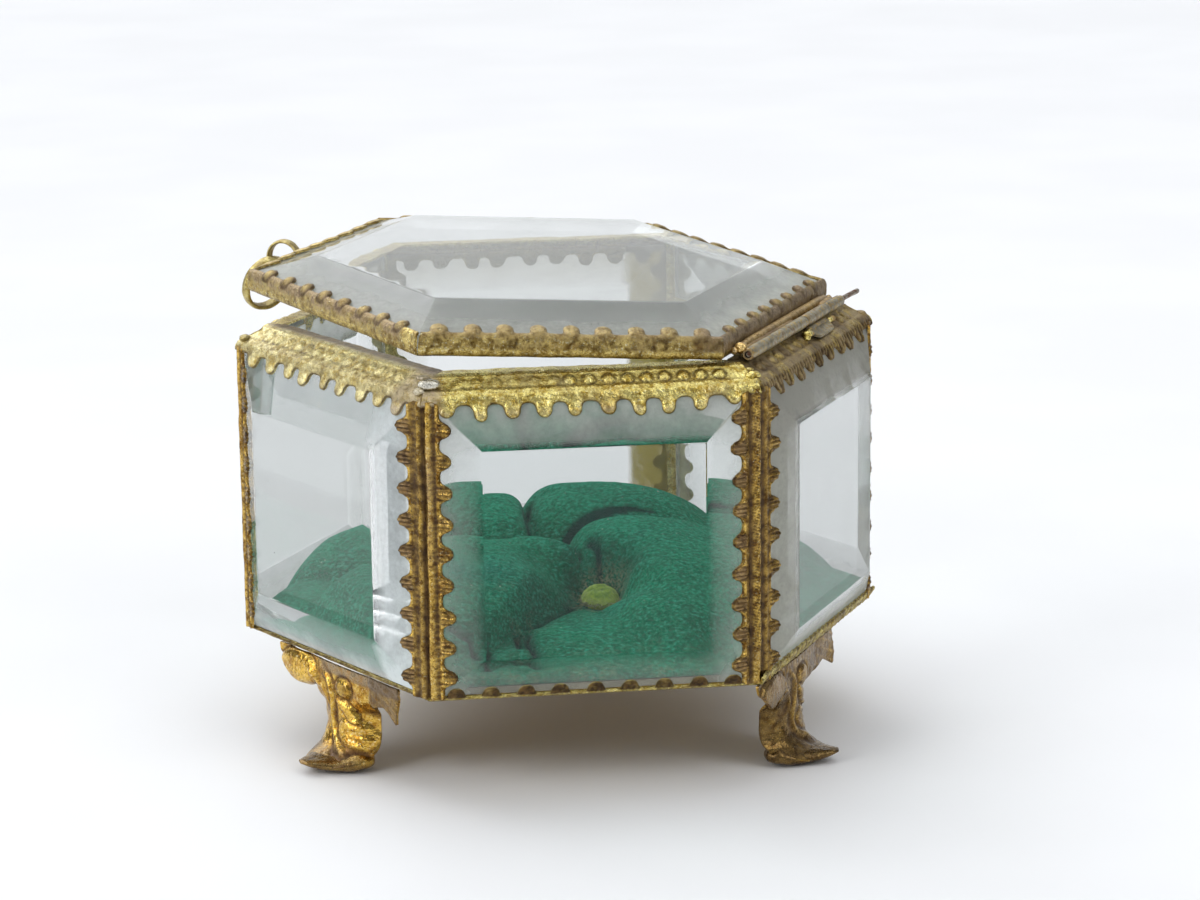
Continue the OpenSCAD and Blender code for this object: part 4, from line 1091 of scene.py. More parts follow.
def pane(k, l=FLAT_HALF, r=FLAT_HALF, lo=FLAT_LO, hi=FLAT_HI):
    d = PANE_OUT - EDGE_C
    planes = [((0, -PANE_IN, 0), (0, 1, 0)), ((0, -PANE_OUT, 0), (0, -1, 0)),
              ((0, 0, 0.92), (0, 0, -1)), ((0, 0, WALL_H - 0.4), (0, 0, 1)),
              ((-PANE_U + (0.45 if k == BACK else 0), 0, 0), (-1, 0, 0)), ((PANE_U - (0.45 if k == RBACK else 0), 0, 0), (1, 0, 0)),
              ((0, -PANE_OUT, hi), (0, -(WALL_H - hi), d)), ((0, -PANE_OUT, lo), (0, -lo, -d)),
              ((-l, -PANE_OUT, 0), (-d, -(HALF - l), 0)), ((r, -PANE_OUT, 0), (d, -(HALF - r), 0))]
    bm = solid_from_planes(planes)

    def arris(e):
        return all(v.co.y < -PANE_IN - 0.3 for v in e.verts) and e.calc_face_angle(0) < 1.0

    cuts = [((x, 0, 0), (1, 0, 0)) for x in np.arange(-20, 20.1, 2.0)] + [((0, 0, z), (0, 0, 1)) for z in np.arange(2.2, 41.9, 2.0)]

    def haze(co):
        u, w, z = co[:, 0], -co[:, 1], co[:, 2]
        P = np.stack([u + 60 * k, z], 1)
        n1 = noise(P, 7.0, 201 + k, 3)
        d_in = np.minimum.reduce([u + HALF, HALF - u, z, WALL_H - z])
        bev = sstep(PANE_OUT - w, 0.05, 0.5)
        outer = w > PANE_IN + 0.05
        h = 0.003 + 0.008 * np.maximum(n1, 0)
        edge = np.exp(-np.maximum(d_in - 3.2, 0) / 1.6)
        top = np.exp(-np.maximum(WALL_H - z - 3.4, 0) / 3.0)
        bot = np.exp(-np.maximum(z - 1.6, 0) / 2.6)
        hb = 0.06 + 0.34 * edge + 0.22 * top + 0.10 * bot + 0.06 * n1
        if k == RFRONT:
            h = h + 0.05
            hb = 0.42 + 0.30 * edge + 0.30 * sstep(z, 33.5, 35.5) + 0.25 * sstep(-u, 14.5, 16.0) + 0.05 * n1
        if k == FRONT:
            hb = (hb + 0.20 * sstep(z, 34.0, 35.5)) * (1 - 0.70 * sstep(6.5 - z, 0, 2.5) * (1 - sstep(np.abs(u), 15.0, 18.0)))
        if k == LFRONT:
            # strong haze on the right bevel: painted light of a bright window
            hb = 0.05 + 0.08 * edge + 0.62 * sstep(u, 12.6, 13.4) + 0.35 * bot + 0.05 * top + 0.05 * n1
        if k in (RBACK, BACK, LBACK):
            hb = hb * (0.5 if k == BACK else 1.0) + (0.10 if k == BACK else 0.25) * top
        if k == BACK:
            # haze strip at the left end: painted reflection of the gilt post
            hb = hb + 0.85 * sstep(-u, 15.4, 15.8)
        h = np.where(outer, h + bev * hb, h * 0.8 + 0.07 * np.exp(-np.maximum(z - 2.5, 0) / 2.0) + 0.07 * np.exp(-d_in / 2.0))
        return h

    ob = glass_object("glass_" + SIDES[k], bm, side_box(k), haze, cuts, arris, mat={RFRONT: M_GLASS_GREY, LFRONT: M_GLASS_BRIGHT, BACK: M_GLASS_GOLD_REFLECTION}.get(k))
    return put(ob, "box", "pane_" + SIDES[k])


for k in range(5):
    pane(k)
pane(5, FLAT_HALF, FLAT_HALF - 1.0, FLAT_LO + 1.0, FLAT_HI - 1.4)


def lid_pane():
    planes = [((0, 0, 0.45), (0, 0, -1)), ((0, 0, LID_TOP), (0, 0, 1))]
    for k in range(6):
        c, s = math.cos(math.radians(60 * k)), math.sin(math.radians(60 * k))
        o = np.array([s, -c, 0])
        planes.append((tuple(o * LID_EDGE), tuple(o)))
        dz, dw = LID_TOP - LID_EDGE_C, LID_EDGE - LID_FLATS[k]
        planes.append((tuple(o * LID_EDGE + np.array([0, 0, LID_EDGE_C])), (o[0] * dz, o[1] * dz, dw)))
    bm = solid_from_planes(planes)

    def arris(e):
        return all(v.co.z > LID_EDGE_C + 0.05 for v in e.verts) or (max(v.co.z for v in e.verts) > LID_TOP - 0.05 and min(v.co.z for v in e.verts) > 2.0)

    cuts = [((x, 0, 0), (1, 0, 0)) for x in np.arange(-40, 40.1, 2.5)] + [((0, y, 0), (0, 1, 0)) for y in np.arange(-35, 35.1, 2.5)]

    def haze(co):
        w = np.max([co[:, 0] * math.sin(math.radians(60 * k)) - co[:, 1] * math.cos(math.radians(60 * k)) for k in range(6)], axis=0)
        P = co[:, :2]
        n1, n2 = noise(P, 9.0, 301, 3), noise(P, 4.0, 307, 2)
        top = co[:, 2] > LID_TOP - 0.03
        rim = np.exp(-np.maximum(LID_EDGE - 2.6 - w, 0) / 2.2)
        up = co[:, 2] > 0.6
        h = np.where(top, 0.09 + 0.06 * np.maximum(n1, 0), 0.05 + 0.05 * n2 + 0.50 * rim)
        right = sstep(co[:, 0], 8, 26)
        h = np.where(up & ~top, h + 0.12 * right, h)
        return np.where(up, h, 0.05 + 0.04 * n1 + 0.25 * rim)

    ob = glass_object("glass_lid", bm, lid_place, haze, cuts, arris, mat=M_GLASS_LID)
    return put(ob, "lid", "lid_glass")


lid_pane()

# ---------------------------------------------------------------- feet
def poly_sd(X, Y, pts):
    """Distance inside a polygon, negative outside."""
    pts = np.asarray(pts, float)
    best = np.full(np.shape(X), 1e9)
    inside = np.zeros(np.shape(X), bool)
    n = len(pts)
    for i in range(n):
        a, b = pts[i], pts[(i + 1) % n]
        ab = b - a
        t = np.clip(((X - a[0]) * ab[0] + (Y - a[1]) * ab[1]) / (ab @ ab), 0, 1)
        best = np.minimum(best, np.hypot(X - a[0] - t * ab[0], Y - a[1] - t * ab[1]))
        cond = (a[1] > Y) != (b[1] > Y)
        with np.errstate(divide="ignore", invalid="ignore"):
            xi = (b[0] - a[0]) * (Y - a[1]) / (b[1] - a[1] + 1e-12) + a[0]
        inside ^= cond & (X < xi)
    return np.where(inside, best, -best)


def grid_solid(fn, nu, nv, close_v=True, mask=None):
    """Closed solid of rings: fn(s, a) with s from 0 to 1 along it and a the angle; ends closed to points."""
    s = (1 - np.cos(np.linspace(0, math.pi, nu))) / 2
    a = np.linspace(0, 2 * math.pi, nv, endpoint=False)
    S, A = np.meshgrid(s, a, indexing="ij")
    P = fn(S.ravel(), A.ravel())
    idx = np.arange(nu * nv).reshape(nu, nv)
    i, j = idx[:-1], idx[1:]
    q = np.stack([i, np.roll(i, -1, 1), np.roll(j, -1, 1), j], -1).reshape(-1, 4)
    T = np.vstack([q[:, [0, 1, 2]], q[:, [0, 2, 3]]])
    c0, c1 = P[idx[0]].mean(0), P[idx[-1]].mean(0)
    V = np.vstack([P, c0, c1])
    n = nu * nv
    T = np.vstack([T, np.stack([np.roll(idx[0], -1), idx[0], np.full(nv, n)], 1), np.stack([idx[-1], np.roll(idx[-1], -1), np.full(nv, n + 1)], 1)])
    vol = np.einsum("ij,ij->i", V[T[:, 0]], np.cross(V[T[:, 1]], V[T[:, 2]])).sum()
    if vol < 0:
        T = T[:, ::-1]
    M = mask(V) if mask else np.zeros((len(V), 4))
    return V, T, M


WING = [(-14.6, -0.05), (15.0, -0.05), (15.2, -2.2), (14.9, -5.2), (13.2, -4.3), (11.4, -3.5), (9.4, -3.9), (7.2, -4.9), (4.2, -5.6),
        (-4.2, -5.2), (-6.2, -4.7), (-8.6, -4.9), (-10.4, -4.4), (-12.4, -3.0), (-14.2, -1.4)]
S_RIDGE = smooth_line([(-3.6, -0.9), (-1.7, -2.4), (-0.9, -4.8), (-1.1, -7.4), (-0.8, -9.8), (0.5, -11.6), (2.6, -12.6), (4.6, -12.8)])
S_LOW = smooth_line([(-5.6, -2.2), (-4.9, -3.2), (-3.6, -3.9), (-2.2, -5.8), (-1.9, -7.2)])


def foot_piece(name, node, k, shift, look):
    h = FOOT_H
    pr = Profile([(38.75, -0.05), (38.95, -2.7), (38.75, -6.2), (38.45, -9.6), (39.1, -11.6), (40.9, -12.95), (42.3, -13.5)], 1.6)
    half_z = [(0, 7.6), (-3, 7.0), (-5.3, 6.55), (-8.9, 6.1), (-11.2, 6.2), (-14.8, 5.6)]

    def half(z, w):
        U = np.interp(-z, [-p[0] for p in half_z], [p[1] for p in half_z])
        toe = np.interp(w, [39.0, 40.0, 41.0, 42.5, 44.0], [9.0, 5.3, 4.2, 3.0, 2.1])
        return np.minimum(U, toe)

    def f(u, t):
        w, z = pr.at(np.clip(t, 0, pr.length))
        leg = half(z, w) - np.abs(u)
        wing = np.where(t < 7.5, poly_sd(u, z, WING), -3.0)
        return np.minimum(smax(leg, wing, 0.8), np.minimum(t - 0.03, pr.length - 0.05 - t))

    def depth(u, z):
        return 0.25 + 2.5 * sstep(-z, 3.2, 6.5) * (1 - sstep(np.abs(u), 7.4, 9.2))

    def surf(u, t):
        w, z = pr.at(np.clip(t, 0, pr.length))
        s = np.clip(np.abs(u) / np.maximum(half(z, np.minimum(w, 40.0)), 1), 0, 1.05)
        wing = sstep(np.abs(u), 7.5, 9.5)
        g = s ** 2.2 * (1 - wing) + wing
        toe = sstep(w, 39.6, 41.5)
        fall = depth(u, z) * g * (1 - toe)
        zz = z - toe * 1.2 * s ** 2
        curl = 0.9 * sstep(np.abs(u), 12.5, 15.2) * sstep(-z, 1.0, 4.0)
        return np.stack([u, -(w - fall + curl * 0.4), zz], 1)

    def relief(u, t):
        w, z = pr.at(np.clip(t, 0, pr.length))
        P = xyseed(u, t, 40 + k)
        ds, al = seg_dist(u, z, S_RIDGE)
        d = 0.42 * gauss(ds, 0.42) * sstep(al, 0.0, 0.12) * (1 - 0.5 * sstep(al, 0.85, 1.0))
        d = d - 0.16 * gauss(ds - 0.85, 0.30) * sstep(al, 0.05, 0.2)
        dl, a2 = seg_dist(u, z, S_LOW)
        d = d + 0.26 * gauss(dl, 0.40)
        # bud
        rb = np.hypot((u - 1.9) / 1.75, (z + 2.95) / 1.45)
        bud = np.sqrt(np.clip(1 - rb ** 2, 0, 1))
        d = d + 0.55 * bud + 0.10 * noise(P, 0.55, 401, 2) * (rb < 1) - 0.22 * gauss(rb - 1.16, 0.14)
        # leaf below the bud
        ax = np.array([0.72, -0.69])
        la, lb = (u - 1.9) * ax[0] + (z + 5.7) * ax[1], -(u - 1.9) * ax[1] + (z + 5.7) * ax[0]
        lw = 1.25 * np.sqrt(np.clip(1 - (la / 2.75) ** 2, 0.0, 1)) * (0.75 + 0.25 * np.clip(la / 2.7, -1, 1)) + 1e-3
        rl = np.abs(lb) / lw
        leaf = np.sqrt(np.clip(1 - rl ** 2, 0, 1)) * (np.abs(la) < 2.74)
        d = d + 0.50 * leaf - 0.20 * gauss(rl - 1.25, 0.22) * (np.abs(la) < 2.9)
        # calf
        rc = np.hypot((u - 3.0) / 3.1, (z + 9.9) / 2.9)
        d = d + 0.62 * np.sqrt(np.clip(1 - rc ** 2, 0, 1))
        d = d + 0.20 * gauss(z + 8.5 - 0.12 * (u - 3.8), 0.22) * gauss(u - 3.9, 1.2) + 0.18 * gauss(z + 10.15 + 0.15 * (u - 4.2), 0.20) * gauss(u - 4.2, 1.1)
        d = d - 0.62 * np.exp(-(((u - 3.6) / 2.2) ** 2 + ((z + 12.55) / 0.55) ** 2))
        # left band
        d = d + 0.34 * np.exp(-(((u + 5.0) / 0.9) ** 2 + ((z + 5.2) / 1.1) ** 2)) - 0.34 * np.exp(-(((u + 2.9) / 0.7) ** 2 + ((z + 6.6) / 0.8) ** 2))
        d = d + 0.30 * np.exp(-(((u + 3.3) / 1.0) ** 2 + ((z + 10.6) / 1.5) ** 2)) + 0.2 * np.exp(-(((u + 4.6) / 0.8) ** 2 + ((z + 8.2) / 1.0) ** 2))
        # right shoulder and small ridge
        d = d + 0.35 * np.exp(-(((u - 6.0) / 1.3) ** 2 + ((z + 4.0) / 1.1) ** 2)) - 0.3 * np.exp(-(((u - 6.2) / 1.2) ** 2 + ((z + 6.0) / 0.6) ** 2))
        # lobe on the left, plate on the right
        rl2 = np.hypot((u + 9.3) / 4.6, (z + 2.3) / 2.5)
        d = d + 0.85 * np.sqrt(np.clip(1 - rl2 ** 2, 0, 1)) - 0.2 * gauss(rl2 - 1.05, 0.10) * (u < -5)
        pl = sstep(u, 7.8, 8.8)
        d = d + pl * (0.22 * sstep(z, -3.6, -0.8) * gauss(u - 12.0, 3.2) + 0.09 * gauss(((z + 0.4 * (u - 8)) % 1.3) - 0.65, 0.16) - 0.05)
        d = d + 0.10 * sstep(z, -1.5, -1.1) * (u > -4)
        d = d + 0.035 * noise(P, 1.5, 409 + k, 2)
        if look == "bent":
            d = d * 0.85
        return np.maximum(d, -0.2)

    def masks(u, t):
        w, z = pr.at(np.clip(t, 0, pr.length))
        P = xyseed(u, t, 40 + k)
        n1, n2 = noise(P, 3.2, 421 + k, 3), noise(P, 0.9, 427 + k, 2)
        ds, al = seg_dist(u, z, S_RIDGE)
        rb = np.hypot((u - 1.9) / 1.75, (z + 2.95) / 1.45)
        rl2 = np.hypot((u + 9.3) / 4.6, (z + 2.3) / 2.5)
        r = relief(u, t)
        # dark in the hollows of the relief (by the S ridge, round the bud, above the heel, at the wing joint, wherever
        # it sinks): painted shade with dirt
        rec = 0.55 * gauss(ds - 0.85, 0.35) + 0.6 * gauss(rb - 1.16, 0.18) + 0.9 * np.exp(-(((u - 3.6) / 2.4) ** 2 + ((z + 12.55) / 0.7) ** 2))
        rec = rec + 0.8 * np.exp(-(((u + 2.9) / 0.8) ** 2 + ((z + 6.6) / 0.9) ** 2)) + 0.6 * np.exp(-(((u - 6.4) / 1.4) ** 2 + ((z + 5.9) / 0.8) ** 2))
        rec = rec + 0.25 * sstep(-r, -0.1, 0.15) + 0.35 * np.maximum(n1, 0)
        toe = sstep(w, 39.4, 40.4)
        band = sstep(z + 0.9 + 0.10 * (u + 3) * 0 + 0.25 * n1, -0.9, -0.3) * sstep(u, -4.5, -2.5)
        pl = sstep(u, 7.6, 8.6)
        tar = 0.85 * band + 0.75 * pl * (0.7 + 0.4 * n2) + 0.55 * toe
        brz = 0.55 * (rb < 1) * (0.8 + 0.5 * n2) + 0.55 * pl + 0.50 * toe * (0.7 + 0.6 * n2) + 0.1 * np.maximum(n1, 0)
        if look == "bent":
            high = sstep(r, 0.25, 0.55)
            rec = rec * 0.5
            brz = 0.80 - 0.55 * high * (0.6 + 0.5 * n2) + 0.1 * n1 + 0.1 * toe
            tar = 0.35 + 0.25 * n2 + 0.3 * (rl2 < 1)
        if look == "back":
            brz = brz + 0.25
        return np.stack([np.clip(rec, 0, 1), np.clip(tar, 0, 1), np.clip(brz, 0, 1), np.zeros(len(u))], 1)

    leg = sheet_arrays(f, (-15.4, 15.4, 0, pr.length), 0.24, surf, relief, 0.42, flip=True, back=0.7, masks=masks)

    def paw(s, a):
        w = 35.5 + 9.85 * s
        U = np.interp(w, [35.5, 35.9, 36.8, 38.2, 39.7, 41.0, 42.5, 44.0, 45.0, 45.35], [0.5, 4.4, 5.6, 5.9, 5.3, 4.1, 2.9, 1.9, 1.1, 0.2])
        zt = np.interp(w, [35.5, 35.9, 36.8, 38.5, 39.6, 41.0, 42.6, 44.2, 45.0, 45.35], [-13.2, -12.2, -11.6, -11.6, -12.25, -12.75, -12.80, -12.72, -12.75, -12.95])
        zb = np.interp(w, [35.5, 35.9, 36.6, 37.6, 39.7, 41.0, 43.2, 44.5, 45.35], [-13.4, -14.3, -14.72, -14.8, -14.8, -14.66, -14.22, -13.65, -13.15])
        c, sn = np.cos(a), np.sin(a)
        e = 0.72
        uu = U * np.sign(c) * np.abs(c) ** e
        hz = np.sign(sn) * np.abs(sn) ** 0.85
        zz = (zt + zb) / 2 + (zt - zb) / 2 * hz
        P3 = np.stack([uu, w, zz], 1)
        n = noise(P3, 1.3, 431 + k, 2) * 0.10
        zz = np.maximum(zz + n * (hz > 0), -14.8)
        return np.stack([uu * (1 + 0.015 * n), -w, zz], 1)

    def pawmask(V):
        n2 = noise(V, 0.8, 433 + k, 2)
        # clean gold on the top of the heel: painted highlight
        heel = 1 - sstep(-V[:, 1], 37.5, 40.5)
        gold = heel * sstep(V[:, 2], -14.4, -13.2) * (look != "bent")
        m = np.zeros((len(V), 4))
        m[:, 0] = 0.3 * np.maximum(n2, 0)
        m[:, 1] = 0.55 - 0.45 * gold
        m[:, 2] = np.clip((0.60 if look != "bent" else 0.8) * (1 - 0.9 * gold) + 0.25 * n2, 0, 1)
        return m

    toe = grid_solid(paw, 40, 40, mask=pawmask)
    arr = join([leg, toe])
    arr = (arr[0] + np.array([shift, 0, 0]), arr[1], arr[2])
    ob = mesh_object(name, *arr, M_FOOT, sharp=60, place=side_box(k))
    return put(ob, "box", node)


foot_piece("stamped_foot_left", "foot_left", LFRONT, 0.0, "bright")
foot_piece("stamped_foot_right", "foot_right", RFRONT, -RIGHT_FOOT_SHIFT, "bent")
foot_piece("stamped_foot_back", "foot_back", BACK, 0.0, "back")


# ---------------------------------------------------------------- hinge
def tube_arrays(a0, a1, ro, ri, seam, seed, amp=0.05, mask=None):
    """Rolled tube along the hinge line, with an open seam groove and uneven ends."""
    na, nt = max(8, int((a1 - a0) / 0.28)), 44
    a = np.linspace(a0, a1, na)
    th = np.linspace(0, 2 * math.pi, nt, endpoint=False)
    A, TH = np.meshgrid(a, th, indexing="ij")
    P = np.stack([A.ravel(), 3 * np.cos(TH.ravel()), 3 * np.sin(TH.ravel())], 1)
    r = ro - amp * 0.5 + amp * noise(P, 2.2, seed, 2)
    dth = np.angle(np.exp(1j * (TH.ravel() - seam - 0.05 * np.sin(A.ravel() * 0.6))))
    r = r - 0.16 * gauss(dth, 0.13)
    e = np.minimum(A.ravel() - a0, a1 - A.ravel())
    r = r - 0.14 * np.exp(-e / 0.18)
    out = np.stack([A.ravel(), r, TH.ravel()], 1)
    inn = np.stack([A.ravel(), np.full(A.size, ri), TH.ravel()], 1)
    cyl = np.vstack([out, inn])
    V = np.stack([cyl[:, 0], -(HINGE_N + cyl[:, 1] * np.cos(cyl[:, 2])), HINGE_Z + cyl[:, 1] * np.sin(cyl[:, 2])], 1)
    idx = np.arange(na * nt).reshape(na, nt)
    i, j = idx[:-1], idx[1:]
    q = np.stack([i, np.roll(i, -1, 1), np.roll(j, -1, 1), j], -1).reshape(-1, 4)
    n = na * nt
    T = [q[:, [0, 1, 2]], q[:, [0, 2, 3]], q[:, [2, 1, 0]] + n, q[:, [3, 2, 0]] + n]
    for row, s in ((idx[0], 1), (idx[-1], -1)):
        r2 = np.roll(row, -1)
        c = [np.stack([row, row + n, r2 + n], 1), np.stack([row, r2 + n, r2], 1)]
        T += [x if s == 1 else x[:, ::-1] for x in c]
    T = np.vstack(T)
    vol = np.einsum("ij,ij->i", V[T[:, 0]], np.cross(V[T[:, 1]], V[T[:, 2]])).sum()
    if vol < 0:
        T = T[:, ::-1]
    m = np.zeros((len(V), 4))
    n1 = noise(V, 1.5, seed + 5, 2)
    # dark along the seam groove and all over the inside of the tube: painted shade
    m[:n, 0] = 0.8 * gauss(dth, 0.16) + 0.3 * np.maximum(n1[:n], 0)
    m[n:, 0] = 0.9
    m[:n, 2] = 0.7 * np.exp(-e / 0.35) * (n1[:n] > -0.3)
    return V, T, m


def bar_arrays(a0, a1, w, z, rw, rz, seed, expo=0.8, amp=0.06, n=60, bend=0.0, mask=None):
    """Soft-edged bar along the hinge line."""
    def fn(s, a):
        x = a0 + (a1 - a0) * s
        cap = np.sqrt(np.clip(1 - (2 * s - 1) ** 10, 0, 1))
        c, sn = np.cos(a), np.sin(a)
        ww = w + bend * np.sin(s * math.pi) + rw * cap * np.sign(c) * np.abs(c) ** expo
        zz = z + rz * cap * np.sign(sn) * np.abs(sn) ** expo
        P = np.stack([x, ww, zz], 1)
        nn = noise(P, 1.6, seed, 2) * amp
        return np.stack([x, -(ww + nn), zz + nn * 0.6], 1)
    return grid_solid(fn, n, 26, mask=mask)


def lump(x, w, z, r, seed, squash=(1, 1, 1), m=(0, 0, 0, 0)):
    """Small run of solder or burr."""
    def fn(s, a):
        ph = math.pi * s
        d = np.stack([np.cos(ph), np.sin(ph) * np.cos(a), np.sin(ph) * np.sin(a)], 1)
        rr = r * (1 + 0.22 * noise(d * 2.0 + seed, 1.0, seed, 2))
        P = d * rr[:, None] * np.array(squash)
        return np.stack([x + P[:, 0], -(w + P[:, 1]), z + P[:, 2]], 1)
    return grid_solid(fn, 16, 18, mask=lambda V: np.tile(np.array(m, float), (len(V), 1)))


def const_mask(vals, noise_amp=0.0, size=1.5, seed=0):
    def fn(V):
        m = np.tile(np.array(vals, float), (len(V), 1))
        if noise_amp:
            m = m + noise_amp * noise(V, size, seed, 2)[:, None] * (np.array(vals) > 0)
        return np.clip(m, 0, 1)
    return fn


arr = join([tube_arrays(2.95, 11.95, KNUCKLE_R, 0.45, 2.4, 501),
            bar_arrays(2.6, 9.8, 36.85, 44.22, 0.60, 0.34, 503, mask=const_mask((0.2, 0.3, 0.2, 0.4), 0.3, 1.2, 5)),
            lump(2.3, 37.5, 43.75, 0.42, 508, (1.6, 1.1, 0.8), (0.1, 0, 0.0, 0.0)),
            lump(11.5, 37.30, 43.98, 0.50, 509, (1.2, 1.1, 0.9), (0.1, 0, 0.9, 0.0))])
put(mesh_object("hinge_tube_box", *arr, M_LEAD, place=hinge_box), "box", "hinge_knuckle_box")


def tab_surface():
    pr = Profile([(36.9, 44.35), (37.25, 43.60), (38.50, 42.92)], 0.5)

    def f(x, t):
        r = 1.3
        dx = np.abs(x - 6.2) - (3.9 - r - 0.5 * sstep(t, 0.8, pr.length))
        dy = t - (pr.length - r)
        return r - np.hypot(np.maximum(dx, 0), np.maximum(dy, 0)) + np.minimum(np.maximum(-dx, -dy), 0) * 0 - 0.0 * t + np.where(t < 0.03, -9, 0)

    def surf(x, t):
        w, z = pr.at(np.clip(t, 0, pr.length))
        return np.stack([x, -w, z], 1)

    def relief(x, t):
        P = xyseed(x, t, 60)
        return 0.10 * noise(P, 1.6, 511, 2) + 0.10 * gauss(f(x, t) - 0.25, 0.2)

    def masks(x, t):
        P = xyseed(x, t, 60)
        n1 = noise(P, 1.4, 513, 3)
        m = np.zeros((len(x), 4))
        m[:, 0] = 0.35 * np.maximum(n1, 0)
        m[:, 1] = 0.2
        m[:, 3] = np.clip(0.45 + 0.5 * n1, 0, 1)
        return m

    return sheet_arrays(f, (1.8, 10.8, 0, pr.length), 0.18, surf, relief, 0.28, flip=True, masks=masks, hollow_dirt_and_shade=0.3)


put(mesh_object("hinge_tab", *tab_surface(), M_LEAD, place=hinge_box), "box", None)
put(mesh_object("hinge_tube_long", *join([tube_arrays(-19.25, 2.80, KNUCKLE_R, 0.45, 2.2, 521)]), M_LEAD, place=hinge_lid), "lid", "hinge_knuckle_long")
put(mesh_object("hinge_tube_short", *join([tube_arrays(12.10, 18.2, KNUCKLE_R * 0.98, 0.45, 1.9, 523, 0.08)]), M_LEAD, place=hinge_lid), "lid", "hinge_knuckle_short")

W0 = LID_W - LID_BACK


def leaf_mask(V):
    n1, n2 = noise(V, 3.0, 531, 3), noise(V, 0.8, 533, 2)
    m = np.zeros((len(V), 4))
    m[:, 0] = np.clip(0.15 + 0.3 * np.maximum(n2, 0), 0, 1)
    m[:, 1] = np.clip(0.10 + 0.25 * n1 + 0.45 * sstep(V[:, 0], 9, 14), 0, 1)
    m[:, 2] = np.clip(0.12 + 0.2 * n1, 0, 1)
    m[:, 3] = np.clip(0.25 * sstep(n1, 0.2, 0.6), 0, 1)
    return m


arr = join([bar_arrays(-18.3, 17.3, W0 + 0.62, HINGE_Z + 0.30, 0.66, 0.78, 541, 0.85, 0.05, n=130, mask=leaf_mask),
            bar_arrays(-18.2, 1.7, HINGE_N - 1.15, HINGE_Z + 0.12, 0.62, 0.50, 543, 0.6, 0.04, n=80, mask=const_mask((0.5, 0.2, 0.45, 0), 0.3)),
            bar_arrays(12.4, 17.3, HINGE_N - 1.15, HINGE_Z + 0.12, 0.62, 0.50, 545, 0.6, 0.04, n=30, mask=const_mask((0.3, 0.4, 0.3, 0), 0.3)),
            lump(-18.4, W0 + 1.15, HINGE_Z + 0.55, 0.95, 547, (0.95, 1.0, 0.85), (0.0, 0.0, 0.0, 0.0)),
            lump(-16.9, W0 + 0.8, HINGE_Z + 0.75, 0.45, 548, (1.5, 1.0, 0.6), (0.0, 0.1, 0.05, 0.15)),
            lump(-19.0, W0 + 0.4, HINGE_Z + 0.2, 0.55, 549, (0.9, 1.0, 1.0), (0.1, 0.1, 0.05, 0.1)),
            lump(17.2, W0 + 1.0, HINGE_Z + 0.35, 0.5, 550, (1.2, 1.0, 0.8), (0.1, 0.3, 0.1, 0.1))])
put(mesh_object("hinge_leaf_lid", *arr, M_TAN, place=hinge_lid), "lid", "hinge_leaf")


def pin_arrays():
    def fn(s, a):
        x = -19.0 + 43.6 * s
        fr = sstep(x, 18.6, 24.6)
        r = PIN_R - 0.015 + 0.0 * s
        r = r + fr * 0.03 * noise(np.stack([x, np.cos(a), np.sin(a)], 1), 0.8, 561, 2)
        cy_, cz_ = -HINGE_N - 0.35 * fr ** 2, HINGE_Z + 0.10 * fr
        return np.stack([x, cy_ - r * np.cos(a), cz_ + r * np.sin(a)], 1)
    return grid_solid(fn, 90, 20)


put(mesh_object("hinge_wire_pin", *pin_arrays(), M_WIRE, place=hinge_box), "box", "hinge_pin")


# ---------------------------------------------------------------- solder at the corners, and the burrs by the hinge
def corner_lump(deg, r, z, size, seed, squash, m, along=0.0):
    c, n = math.cos(math.radians(deg)), math.sin(math.radians(deg))
    return lump(r * c - along * n, -(r * n + along * c), z, size, seed, squash, m)


arr = join([corner_lump(-120, 43.2, 43.55, 0.95, 651, (1.7, 1.1, 0.75), (0, 0, 0, 0.95), 0.2),
            corner_lump(-120, 44.3, 42.75, 0.62, 652, (1.2, 1.1, 0.9), (0, 0.5, 0, 0.5), -0.7),
            corner_lump(-120, 42.0, 44.1, 0.60, 653, (1.5, 1.3, 0.6), (0, 0.8, 0, 0.3), -1.2)])
put(mesh_object("corner_solder_front_left", *arr, M_GOLD), "box", None)
arr = join([corner_lump(-60, 43.4, 43.08, 0.72, 655, (1.5, 1.2, 0.75), (0.1, 0, 0, 0), 0.3),
            corner_lump(-60, 44.5, 42.35, 0.55, 656, (1.1, 1.1, 1.0), (0.3, 0, 0.2, 0), 0.0),
            corner_lump(-60, 42.3, 43.60, 0.42, 657, (1.3, 1.1, 0.7), (0, 0.2, 0.2, 0), 0.6)])
put(mesh_object("corner_solder_front_right", *arr, M_GOLD), "box", None)
arr = join([corner_lump(0, 44.55, 40.7, 0.80, 659, (0.75, 1.25, 1.9), (0.45, 0.3, 0.75, 0), -0.3),
            corner_lump(0, 43.9, 42.6, 0.75, 660, (1.2, 1.4, 0.7), (0.1, 0.6, 0.3, 0), 0.0)])
put(mesh_object("corner_curl_right", *arr, M_OLIVE), "box", None)
arr = join([corner_lump(180, 44.2, 42.7, 0.70, 661, (1.2, 1.5, 0.6), (0.2, 0.2, 0.3, 0), 0.2)])
put(mesh_object("corner_solder_left", *arr, M_GOLD), "box", None)
